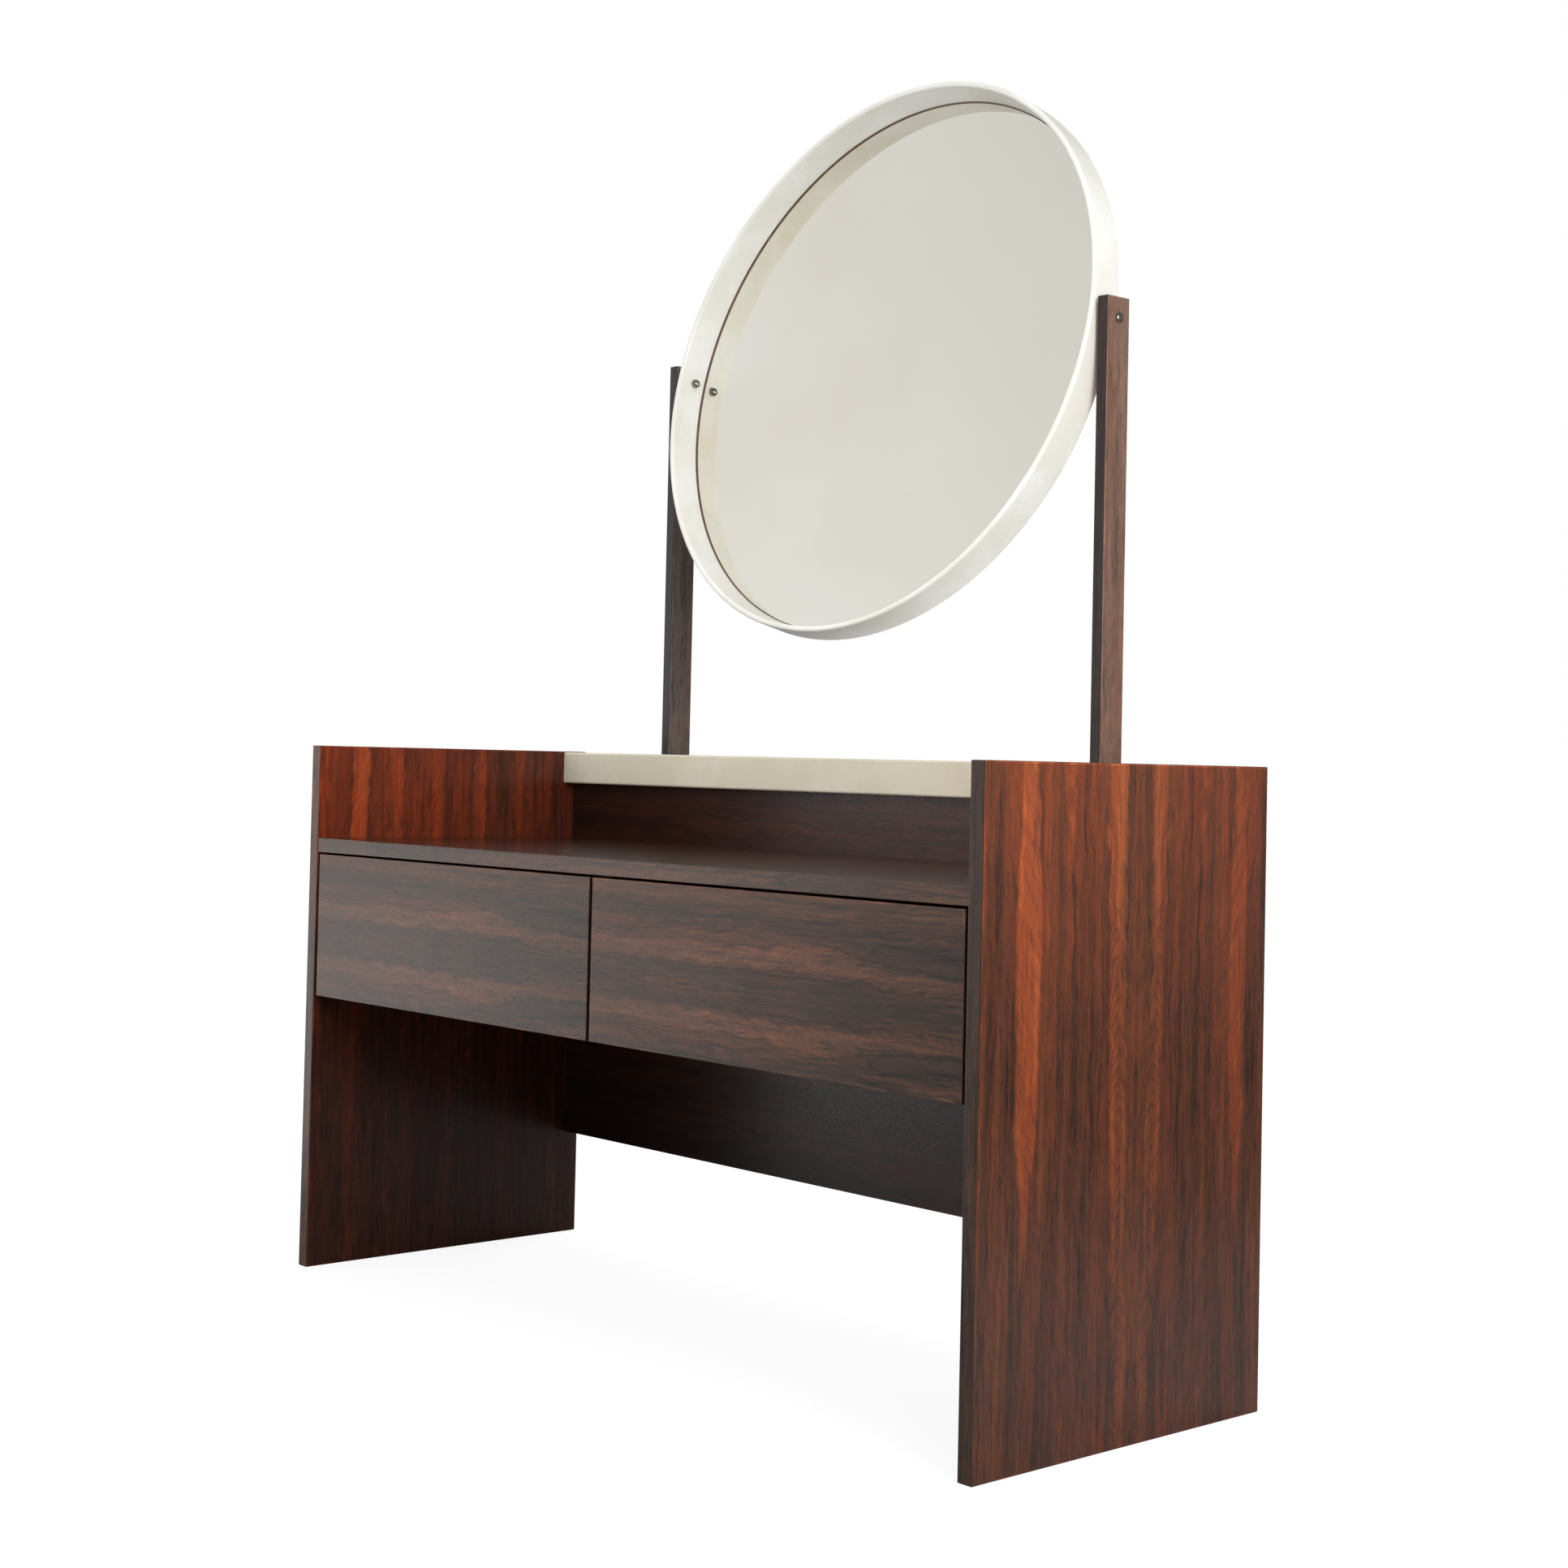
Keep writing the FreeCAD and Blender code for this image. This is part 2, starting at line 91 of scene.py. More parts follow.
def tint(red, green, blue):
    # screen colour, 0 to 255, to the linear colour that a shader takes
    share = np.array((red, green, blue)) / 255.0
    linear = np.where(share <= 0.04045, share / 12.92, ((share + 0.055) / 1.055) ** 2.4)
    return (*linear.tolist(), 1.0)


def feed(tree, socket, value):
    if isinstance(value, bpy.types.NodeSocket):
        tree.links.new(value, socket)
    else:
        socket.default_value = value


def calc(tree, operation, *values):
    node = tree.nodes.new("ShaderNodeMath")
    node.operation = operation
    for socket, value in zip(node.inputs, values):
        feed(tree, socket, value)
    return node.outputs[0]


def addUp(tree, *values):
    total = values[0]
    for value in values[1:]:
        total = calc(tree, "ADD", total, value)
    return total


def minus(tree, first, second):
    return calc(tree, "SUBTRACT", first, second)


def scaled(tree, value, factor):
    return calc(tree, "MULTIPLY", value, factor)


def magnitude(tree, value):
    return calc(tree, "ABSOLUTE", value)


def spread(tree, first, second):
    # length of a step of first one way and second square to it
    return calc(tree, "SQRT", addUp(tree, scaled(tree, first, first), scaled(tree, second, second)))


def between(tree, value, low, high, first=0.0, last=1.0):
    # soft step from first at low to last at high
    node = tree.nodes.new("ShaderNodeMapRange")
    node.interpolation_type = "SMOOTHSTEP"
    for socket, item in zip(node.inputs, (value, low, high, first, last)):
        feed(tree, socket, item)
    return node.outputs[0]


def swap(tree, share, first, second):
    node = tree.nodes.new("ShaderNodeMix")
    node.data_type = "FLOAT"
    feed(tree, node.inputs[0], share)
    feed(tree, node.inputs[2], first)
    feed(tree, node.inputs[3], second)
    return node.outputs[0]


def blendColours(tree, share, first, second, how="MIX"):
    node = tree.nodes.new("ShaderNodeMix")
    node.data_type = "RGBA"
    node.blend_type = how
    feed(tree, node.inputs[0], share)
    feed(tree, node.inputs[6], first)
    feed(tree, node.inputs[7], second)
    return node.outputs[2]


def splitVector(tree, vector):
    node = tree.nodes.new("ShaderNodeSeparateXYZ")
    tree.links.new(vector, node.inputs[0])
    return dict(zip("XYZ", node.outputs))


def coordinates(tree, kind):
    node = tree.nodes.new("ShaderNodeTexCoord")
    return splitVector(tree, node.outputs[kind])


def cloud(tree, first, second, third, detail=2.0, rough=0.5):
    # noise at the point (first, second, third), around 0.5
    point = tree.nodes.new("ShaderNodeCombineXYZ")
    for socket, value in zip(point.inputs, (first, second, third)):
        feed(tree, socket, value)
    node = tree.nodes.new("ShaderNodeTexNoise")
    node.inputs["Scale"].default_value = 1.0
    node.inputs["Detail"].default_value = detail
    node.inputs["Roughness"].default_value = rough
    tree.links.new(point.outputs[0], node.inputs["Vector"])
    return node.outputs[0]


def evenCloud(tree, place, scale, detail, rough=0.5):
    # noise that is as fine one way as another
    return cloud(tree, *(scaled(tree, place[k], scale) for k in "XYZ"), detail, rough)


def streaks(tree, across, along, seed, noise):
    # noise drawn out along the grain, swinging about zero
    step, acrossScale, alongScale, detail = noise
    point = scaled(tree, across, acrossScale), scaled(tree, along, alongScale), seed + step
    return minus(tree, cloud(tree, *point, detail), 0.5)


def colourRamp(tree, value, stops):
    node = tree.nodes.new("ShaderNodeValToRGB")
    marks = node.color_ramp.elements
    while len(marks) < len(stops):
        marks.new(0.5)
    for mark, (place, colour) in zip(marks, stops):
        mark.position = place
        mark.color = colour
    feed(tree, node.inputs[0], value)
    return node.outputs[0]


def alongCurve(tree, along, points):
    # value that follows (place, value) points along the grain, eased between them
    places, values = zip(*points)
    reach = places[-1] - places[0]
    top = max(max(values), 1e-6)
    share = calc(tree, "DIVIDE", minus(tree, along, places[0]), reach)
    stops = [((p - places[0]) / reach, (v / top, v / top, v / top, 1.0)) for p, v in points]
    ramp = colourRamp(tree, share, stops)
    ramp.node.color_ramp.interpolation = "EASE"
    return scaled(tree, ramp, top)


def startFinish(name):
    finish = bpy.data.materials.new(name)
    finish.use_nodes = True
    tree = finish.node_tree
    return finish, tree, tree.nodes["Principled BSDF"], coordinates(tree, "Object")


def dullBy(tree, shader, even, pattern, swing):
    # roughness: an even value plus a share of a pattern
    feed(tree, shader.inputs["Roughness"], addUp(tree, even, scaled(tree, pattern, swing)))


def addBump(tree, shader, height, strength, distance):
    bump = tree.nodes.new("ShaderNodeBump")
    bump.inputs["Strength"].default_value = strength
    bump.inputs["Distance"].default_value = distance
    tree.links.new(height, bump.inputs["Height"])
    tree.links.new(bump.outputs[0], shader.inputs["Normal"])


# rosewood veneers: colours from the darkest tone to the palest

rosewoodColours = [
    (0.00, tint(32, 21, 16)),
    (0.22, tint(60, 37, 26)),
    (0.42, tint(96, 53, 34)),
    (0.62, tint(130, 65, 36)),
    (0.82, tint(160, 82, 43)),
    (1.00, tint(182, 100, 56)),
]

warmColours = [
    (0.00, tint(30, 16, 11)),
    (0.22, tint(62, 30, 18)),
    (0.42, tint(98, 42, 22)),
    (0.62, tint(138, 56, 27)),
    (0.82, tint(170, 73, 33)),
    (1.00, tint(190, 92, 46)),
]

drawerColours = [
    (0.00, tint(30, 22, 18)),
    (0.25, tint(64, 44, 34)),
    (0.50, tint(106, 67, 47)),
    (0.75, tint(138, 89, 62)),
    (1.00, tint(164, 114, 84)),
]

postColours = [
    (0.00, tint(38, 30, 28)),
    (0.30, tint(68, 53, 48)),
    (0.60, tint(121, 91, 77)),
    (1.00, tint(163, 129, 110)),
]

# painted shade: the left post takes a cooler, darker copy of the post colours and a lower tone than the
# right one, for the weaker light that falls on it
leftPostShadeShift = (0.76, 1.02, 1.2, 1.0)
shadedLeftPostColours = [(mark, tuple(np.multiply(colour, leftPostShadeShift).tolist())) for mark, colour in postColours]

veneer = {
    "roughness": 0.30,
    "ior": 1.5,
    "noise": {                      # step of the seed, scale across the grain, scale along it, detail
        "sway": (0.0, 4.0, 1.6, 1.0),
        "ripple": (3.0, 22.0, 26.0, 1.0),
        "broad": (7.0, 26.0, 1.3, 1.0),
        "middle": (11.0, 105.0, 4.0, 2.0),
        "fine": (17.0, 330.0, 20.0, 2.0),
        "fibre": (23.0, 900.0, 70.0, 2.0),
        "feather": (29.0, 120.0, 26.0, 2.0),
        "pore": (31.0, 2600.0, 220.0, 1.0),
        "redBroad": (37.0, 13.0, 1.2, 1.0),
        "redFine": (39.0, 55.0, 2.0, 1.0),
        "lump": (41.0, 30.0, 17.0, 1.0),
        "patch": (47.0, 14.0, 9.0, 1.0),
    },
    "shares": {"broad": 0.52, "middle": 0.44, "fine": 0.32, "fibre": 0.34, "feather": 0.16},
    "lift": 0.006,                  # tone that makes up for the dark rings
    "rippleReach": 0.007,
    "featherSlant": (0.87, 0.50),
    "edgeTurn": (0.6, 0.8),         # how far a face turns before it counts as an edge
    "edgeOffset": 0.7,              # keeps an edge's streaks apart from the face's
    "leafJoint": 0.005,
    "patchSwing": (-0.12, 0.10),
    "inkAt": 0.002,                 # dark line just outside a band
    "inkWidth": 0.0032,
    "arcWidth": 0.30,
    "arcLump": 0.06,
    "arcFeather": 0.016,
    "eyeTurns": 24.0,
    "eyeWander": 0.25,
    "eyeFade": (0.25, 1.35),
    "eyeGain": 0.06,
    "flameFeather": 0.7,
    "ringTurns": (9.0, 4.0, 10.0),  # from the broad streaks, from the middle ones, and a start
    "ringWidth": (0.02, 0.16),
    "ringDark": -0.12,
    "rimWidth": (0.0006, 0.0032),
    "rimSwing": (-0.10, 0.25),
    "rimWear": 0.35,
    "redShares": (0.6, 0.8),
    "redSwing": (-0.2, 0.2),
    "coolTint": (0.35, tint(242, 252, 250)),
    "warmTint": (0.50, tint(255, 218, 200)),
    "poreSwing": (0.13, 0.20),
    "poreTint": (0.55, tint(26, 16, 13)),
    "fineDulling": 0.10,
    "poreDulling": 0.10,
    "bump": (0.25, 0.00025),
    "fibreHeight": 0.5,
}

# each figure: axes of the board, line about which two leaves mirror, tone along the grain, bands of flame

oneLeaf = -1.0      # a mirror line far off the board leaves a single leaf

sidePanelFigure = {
    "grain": "Z", "width": "Y", "thick": "X", "matchAt": -0.040, "seed": 3.1, "sway": 0.010,
    "base": [(0.0, 0.36), (0.35, 0.40), (0.69, 0.53)],
    # painted sheen: the edges take greyer colours and a lighter tone low down, for the sheen on them;
    # partly the lipping's own tone
    "edgeTone": -0.36, "edgeSheenLift": [(0.0, 0.25), (0.35, 0.17), (0.69, 0.0)], "edgeColours": drawerColours,
    "bands": [
        {"centre": [(0.0, 0.021), (0.69, 0.034)],
         "half": [(0.0, 0.010), (0.3, 0.012), (0.69, 0.014)],
         "gain": [(0.0, 0.10), (0.3, 0.19), (0.69, 0.23)],
         "soft": 0.006, "feather": 0.012, "lump": 0.005, "ink": 0.08, "hook": 0.26, "twin": 0.22},
        {"centre": [(0.0, 0.107), (0.69, 0.107)],
         "half": [(0.0, 0.003), (0.69, 0.007)],
         "gain": [(0.40, 0.0), (0.53, 0.10), (0.69, 0.18)],
         "soft": 0.006, "feather": 0.008, "lump": 0.004, "ink": 0.04, "hook": 0.10, "twin": 0.3},
        {"centre": [(0.0, 0.168), (0.69, 0.168)],
         "half": [(0.10, 0.0), (0.225, 0.004), (0.36, 0.0165), (0.54, 0.0185), (0.69, 0.0105)],
         "gain": [(0.10, 0.0), (0.26, 0.24), (0.54, 0.30), (0.69, 0.30)],
         "soft": 0.0045, "feather": 0.003, "lump": 0.003, "ink": 0.07, "hook": 0.0, "twin": 0.27},
    ],
    "hookPitch": 0.017, "hookReach": 0.034, "hookSide": 0.15,
    "eyes": [],
}


def insideBand(at, half, gain, hook=0.0):
    # one upright band on the left panel's inner face, strongest above the top; its fading below the top is
    # partly painted shade
    return {
        "centre": [(0.0, at - oneLeaf), (0.69, at - oneLeaf)],
        "half": [(0.0, half * 0.7), (0.69, half)],
        "gain": [(0.0, 0.2 * gain), (0.40, 0.4 * gain), (0.57, gain), (0.69, gain)],
        "soft": 0.005, "feather": 0.008, "lump": 0.004, "ink": 0.25 * gain, "hook": hook, "twin": 0.0,
    }


leftPanelFigure = dict(
    sidePanelFigure,
    matchAt=oneLeaf,
    broad=0.24,
    # painted shade: the inner face is much darker below the top, in the kneehole's shade, than above it
    base=[(0.0, 0.19), (0.40, 0.23), (0.57, 0.38), (0.69, 0.42)],
    paintedShadeToBack=(-0.0675, -0.45),  # painted shade: tone per metre towards the back, low down and above the top, so the inner face darkens towards the back
    paintedShadeToBackTurn=(0.40, 0.57),
    edgeTone=-0.01,
    # painted sheen: the left panel's edges are lifted low down and take the posts' greyer colours
    edgeSheenLift=[(0.0, 0.18), (0.38, 0.10), (0.57, 0.0), (0.69, 0.0)],
    edgeColours=postColours,
    bands=[
        insideBand(-0.266, 0.006, 0.14),
        insideBand(-0.209, 0.013, 0.32),
        insideBand(-0.160, 0.021, 0.13),
        insideBand(-0.082, 0.010, 0.16, hook=0.10),
        insideBand(-0.012, 0.010, 0.17),
        insideBand(0.060, 0.016, 0.08),
    ],
)

drawerFigure = {
    "grain": "X", "width": "Z", "thick": "Y", "matchAt": 0.4375, "seed": 8.4, "sway": 0.006,
    "base": [(0.0, 0.32), (0.3, 0.30), (0.58, 0.21)],
    "edgeTone": -0.10,
    "bands": [
        {"centre": [(0.0, 0.0415), (0.36, 0.0385), (0.58, 0.027)],
         "half": [(0.0, 0.0125), (0.26, 0.010), (0.36, 0.014), (0.46, 0.011), (0.58, 0.010)],
         "gain": [(0.0, 0.07), (0.36, 0.11), (0.58, 0.15)],
         "soft": 0.007, "feather": 0.010, "lump": 0.018, "ink": 0.15, "hook": 0.08, "twin": 0.0},
        {"centre": [(0.0, 0.072), (0.58, 0.066)],
         "half": [(0.0, 0.002), (0.2, 0.006), (0.4, 0.001), (0.58, 0.009)],
         "gain": [(0.0, 0.02), (0.2, 0.07), (0.4, 0.04), (0.58, 0.13)],
         "soft": 0.005, "feather": 0.008, "lump": 0.020, "ink": 0.10, "hook": 0.06, "twin": 0.4},
    ],
    "hookPitch": 0.011, "hookReach": 0.022, "hookSide": 1.0,
    "eyes": [{"at": (0.36, 0.0385), "size": (0.045, 0.013)}],
}

topFigure = {
    "grain": "X", "width": "Y", "thick": "Z", "matchAt": -0.060, "seed": 14.2, "sway": 0.012,
    "base": [(-0.6, 0.15), (0.6, 0.09)],
    # partly painted sheen: the top's front edge takes the greyer drawer colours
    "edgeTone": 0.17, "edgeColours": drawerColours,
    "bands": [], "eyes": [],
}

backFigure = {
    "grain": "X", "width": "Z", "thick": "Y", "matchAt": 0.480, "seed": 21.7, "sway": 0.012,
    # painted shade: much darker towards the left end, in the shade of the rail and the left panel
    "base": [(-0.6, 0.01), (0.6, 0.22)],
    "edgeTone": -0.06,
    "bands": [
        {"centre": [(-0.6, 0.030), (0.6, 0.024)],
         "half": [(-0.6, 0.010), (0.6, 0.014)],
         "gain": [(-0.6, 0.14), (0.6, 0.20)],
         "soft": 0.008, "feather": 0.010, "lump": 0.010, "ink": 0.05, "hook": 0.08, "twin": 0.0},
    ],
    "hookPitch": 0.011, "hookReach": 0.022, "hookSide": 1.0,
    "eyes": [],
}

postFigure = {
    "grain": "Z", "width": "Y", "thick": "X", "matchAt": oneLeaf, "seed": 31.9, "sway": 0.004,
    "base": [(0.5, 0.56), (0.9, 0.66), (1.25, 0.64)],
    # painted shade: the posts' front and back faces count as edges and take a much darker tone than the lit
    # sides
    "edgeTone": -0.56,
    "bands": [], "eyes": [],
}

# painted shade: a lower tone along the left post than along the right one
shadedLeftPostFigure = dict(postFigure, base=[(0.5, 0.54), (1.25, 0.58)])


def nearRim(tree, node, place, figure):
    # 1 along the rim of a board's face, falling to 0 a few millimetres in
    low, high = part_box(node)
    reach = 1.0
    for axis in (figure["grain"], figure["width"]):
        for limit in (low["XYZ".index(axis)], high["XYZ".index(axis)]):
            reach = calc(tree, "MINIMUM", reach, magnitude(tree, minus(tree, place[axis], limit)))
    return between(tree, reach, *veneer["rimWidth"], 1.0, 0.0)


def boardGrain(tree, figure, start, place):
    # places along and across the grain, then every streak of noise laid along its wandering lines;
    # on a board's edges the thickness stands for the width
    noise, seed = veneer["noise"], figure["seed"]
    facing = coordinates(tree, "Normal")
    endFace = between(tree, magnitude(tree, facing[figure["grain"]]), *veneer["edgeTurn"])
    sideFace = between(tree, magnitude(tree, facing[figure["width"]]), *veneer["edgeTurn"])
    wood = {"width": place[figure["width"]]}
    wood["edge"] = calc(tree, "MAXIMUM", endFace, sideFace)
    wood["onFace"] = minus(tree, 1.0, wood["edge"])
    wood["grain"] = minus(tree, place[figure["grain"]], start)
    fromMatch = minus(tree, wood["width"], figure["matchAt"])
    wood["rear"] = between(tree, fromMatch, -veneer["leafJoint"], veneer["leafJoint"])
    along = swap(tree, endFace, wood["grain"], wood["width"])
    thick = calc(tree, "ADD", place[figure["thick"]], veneer["edgeOffset"])
    across = swap(tree, wood["edge"], magnitude(tree, fromMatch), thick)
    sway = scaled(tree, streaks(tree, across, along, seed, noise["sway"]), figure["sway"])
    ripple = scaled(tree, streaks(tree, across, along, seed, noise["ripple"]), veneer["rippleReach"])
    wood["line"] = addUp(tree, across, sway, ripple)
    for name in ("broad", "middle", "fine", "fibre", "pore", "redBroad", "redFine"):
        wood[name] = streaks(tree, wood["line"], along, seed, noise[name])
    straight, aslant = veneer["featherSlant"]
    slant = addUp(tree, scaled(tree, across, straight), scaled(tree, along, -aslant))
    rise = addUp(tree, scaled(tree, across, aslant), scaled(tree, along, straight))
    wood["feather"] = streaks(tree, slant, rise, seed, noise["feather"])
    wood["lump"] = streaks(tree, across, along, seed, noise["lump"])
    patch = streaks(tree, across, along, seed, noise["patch"])
    wood["patchy"] = between(tree, patch, *veneer["patchSwing"])
    return wood


def bandArcs(tree, band, figure, wood, aside, inside, gain):
    # nested arcs along a band: lines of equal (grain + bend times offset squared)
    bend = figure["hookReach"] / max(half for _, half in band["half"]) ** 2
    phase = addUp(tree, wood["grain"], scaled(tree, scaled(tree, aside, aside), bend),
                  scaled(tree, wood["lump"], veneer["arcLump"]),
                  scaled(tree, wood["feather"], veneer["arcFeather"]))
    phase = calc(tree, "FRACT", scaled(tree, phase, 1.0 / figure["hookPitch"]))
    arc = between(tree, magnitude(tree, minus(tree, phase, 0.5)), 0.0, veneer["arcWidth"], 1.0, 0.0)
    oneSide = between(tree, aside, -veneer["leafJoint"], veneer["leafJoint"], figure["hookSide"], 1.0)
    arc = scaled(tree, scaled(tree, arc, oneSide), scaled(tree, inside, wood["patchy"]))
    return scaled(tree, scaled(tree, arc, gain), -band["hook"])


def bandFlame(tree, band, figure, wood):
    # full gain within the half width, none past it, and a dark line just outside
    keep = minus(tree, 1.0, scaled(tree, wood["rear"], band["twin"]))
    aside = minus(tree, wood["line"], alongCurve(tree, wood["grain"], band["centre"]))
    half = scaled(tree, alongCurve(tree, wood["grain"], band["half"]), keep)
    half = addUp(tree, half, scaled(tree, wood["feather"], band["feather"]),
                 scaled(tree, wood["lump"], band["lump"]))
    past = minus(tree, magnitude(tree, aside), half)
    inside = between(tree, past, -band["soft"], band["soft"], 1.0, 0.0)
    gain = scaled(tree, alongCurve(tree, wood["grain"], band["gain"]), keep)
    share = scaled(tree, gain, 1.0 / max(value for _, value in band["gain"]))
    offInk = magnitude(tree, minus(tree, past, veneer["inkAt"]))
    ink = between(tree, offInk, 0.0, veneer["inkWidth"], 1.0, 0.0)
    flame = addUp(tree, scaled(tree, inside, gain), scaled(tree, scaled(tree, ink, share), -band["ink"]))
    if band["hook"] > 0.0:
        flame = addUp(tree, flame, bandArcs(tree, band, figure, wood, aside, inside, share))
    return flame


def eyeRings(tree, eye, wood):
    # growth rings round a spot, drawn out along the grain
    alongStep = scaled(tree, minus(tree, wood["grain"], eye["at"][0]), 1.0 / eye["size"][0])
    acrossStep = scaled(tree, minus(tree, wood["line"], eye["at"][1]), 1.0 / eye["size"][1])
    reach = spread(tree, alongStep, acrossStep)
    wander = addUp(tree, reach, scaled(tree, wood["middle"], veneer["eyeWander"]))
    rings = calc(tree, "SINE", scaled(tree, wander, veneer["eyeTurns"]))
    return scaled(tree, rings, between(tree, reach, *veneer["eyeFade"], veneer["eyeGain"], 0.0))


def figureTone(tree, node, figure, wood, place):
    # tone = base along the grain + streaks + flames on the face - ring lines; rims are worn, edges toned,
    # with painted shade across the width and a painted sheen on the edges where a figure asks for it
    shares = dict(veneer["shares"])
    shares["broad"] = figure.get("broad", shares["broad"])
    tone = addUp(tree, alongCurve(tree, wood["grain"], figure["base"]), veneer["lift"],
                 *(scaled(tree, wood[name], share) for name, share in shares.items()))
    # painted shade: a tone change across the width, darker towards the back
    if "paintedShadeToBack" in figure:
        paintedShadeToBack = between(tree, wood["grain"], *figure["paintedShadeToBackTurn"], *figure["paintedShadeToBack"])
        tone = addUp(tree, tone, scaled(tree, wood["width"], paintedShadeToBack))
    if figure["bands"]:
        flame = addUp(tree, *(bandFlame(tree, band, figure, wood) for band in figure["bands"]),
                      *(eyeRings(tree, eye, wood) for eye in figure["eyes"]))
        feathered = addUp(tree, 1.0, scaled(tree, wood["feather"], veneer["flameFeather"]))
        tone = addUp(tree, tone, scaled(tree, scaled(tree, flame, feathered), wood["onFace"]))
    broadTurns, middleTurns, firstTurn = veneer["ringTurns"]
    turns = addUp(tree, scaled(tree, wood["broad"], broadTurns), scaled(tree, wood["middle"], middleTurns),
                  firstTurn)
    offRing = magnitude(tree, minus(tree, calc(tree, "FRACT", turns), 0.5))
    ring = between(tree, offRing, *veneer["ringWidth"], veneer["ringDark"], 0.0)
    tone = addUp(tree, tone, ring, scaled(tree, wood["edge"], figure["edgeTone"]))
    # painted sheen: the edge tone is lifted along the grain
    if "edgeSheenLift" in figure:
        lift = alongCurve(tree, wood["grain"], figure["edgeSheenLift"])
        tone = addUp(tree, tone, scaled(tree, wood["edge"], lift))
    worn = between(tree, wood["lump"], *veneer["rimSwing"], 0.0, veneer["rimWear"])
    worn = scaled(tree, worn, nearRim(tree, node, place, figure))
    return addUp(tree, tone, scaled(tree, worn, wood["onFace"]))


def rosewood(node, figure, start=0.0, colours=rosewoodColours,
             roughness=veneer["roughness"], ior=veneer["ior"]):
    # a colour for each tone, drifting between cooler and redder, with dark pores under a satin lacquer
    finish, tree, shader, place = startFinish(node + "_rosewood")
    wood = boardGrain(tree, figure, start, place)
    tone = figureTone(tree, node, figure, wood, place)
    colour = colourRamp(tree, tone, colours)
    # edges take colours of their own: partly the lipping's, partly painted sheen
    if "edgeColours" in figure:
        colour = blendColours(tree, wood["edge"], colour, colourRamp(tree, tone, figure["edgeColours"]))
    redBroad, redFine = veneer["redShares"]
    redness = addUp(tree, scaled(tree, wood["redBroad"], redBroad), scaled(tree, wood["redFine"], redFine))
    coolShare, coolTint = veneer["coolTint"]
    warmShare, warmTint = veneer["warmTint"]
    cool = blendColours(tree, coolShare, colour, coolTint, "MULTIPLY")
    warm = blendColours(tree, warmShare, colour, warmTint, "MULTIPLY")
    colour = blendColours(tree, between(tree, redness, *veneer["redSwing"]), cool, warm)
    pore = between(tree, wood["pore"], *veneer["poreSwing"])
    poreShare, poreTint = veneer["poreTint"]
    colour = blendColours(tree, scaled(tree, pore, poreShare), colour, poreTint)
    feed(tree, shader.inputs["Base Color"], colour)
    dull = addUp(tree, roughness, scaled(tree, wood["fine"], veneer["fineDulling"]),
                 scaled(tree, pore, veneer["poreDulling"]))
    feed(tree, shader.inputs["Roughness"], dull)
    shader.inputs["IOR"].default_value = ior
    height = addUp(tree, scaled(tree, pore, -1.0), scaled(tree, wood["fibre"], veneer["fibreHeight"]))
    addBump(tree, shader, height, *veneer["bump"])
    return finish


# lacquers on the rail and the hoop

lacquers = {
    "cream": {"low": tint(219, 211, 188), "high": tint(229, 222, 202), "roughness": 0.34,
              # painted shade: the cream rail is darker towards its right end
              "shadedEnd": (-0.15, 0.25), "shadeTint": tint(242, 238, 235)},
    "white": {"low": tint(233, 231, 221), "high": tint(242, 242, 237), "roughness": 0.32, "shadedEnd": None},
}
lacquerSkin = {"patch": (11.0, 3.0), "peel": (160.0, 1.0), "peelShare": 0.15, "swing": (0.34, 0.62),
               "patchDulling": 0.10, "bump": (0.04, 0.0002)}


def lacquer(name, paint, skin=lacquerSkin):
    # slow clouds between two near colours, under a skin with a faint orange peel; the cream rail darkens
    # slightly towards its right end as painted shade
    finish, tree, shader, place = startFinish(name)
    patch = evenCloud(tree, place, *skin["patch"])
    peel = evenCloud(tree, place, *skin["peel"])
    mixed = swap(tree, skin["peelShare"], patch, peel)
    colour = blendColours(tree, between(tree, mixed, *skin["swing"]), paint["low"], paint["high"])
    # painted shade: darker towards the right end
    if paint["shadedEnd"]:
        endShade = between(tree, place["X"], *paint["shadedEnd"])
        colour = blendColours(tree, endShade, colour, paint["shadeTint"], "MULTIPLY")
    feed(tree, shader.inputs["Base Color"], colour)
    dullBy(tree, shader, paint["roughness"], patch, skin["patchDulling"])
    addBump(tree, shader, peel, *skin["bump"])
    return finish


# pale wood of the drawer boxes, runners and cleats

paleWoodGrain = {
    "colours": [(0.20, tint(158, 121, 84)), (0.45, tint(186, 148, 106)), (0.70, tint(205, 170, 128))],
    "tilt": 0.83,               # how much the second way across counts
    "noise": {                  # step of the seed, scale across the grain, scale along it, detail
        "sway": (0.0, 6.0, 2.0, 1.0),
        "streak": (2.0, 60.0, 1.5, 2.0),
        "fine": (4.0, 420.0, 9.0, 2.0),
        "speck": (6.0, 2200.0, 130.0, 1.0),
    },
    "tone": 0.5,
    "swayReach": 0.012,
    "streakShare": 0.5,
    "fineShare": 0.35,
    "speckSwing": (0.12, 0.22),
    "speckTint": (0.35, tint(122, 88, 58)),
    "stain": tint(52, 33, 25),
    "frontTurn": (-0.8, -0.5),  # how far a face turns to the front before it takes the stain
    "roughness": 0.52,
    "speckDulling": 0.12,
    "bump": (0.25, 0.0003),
}


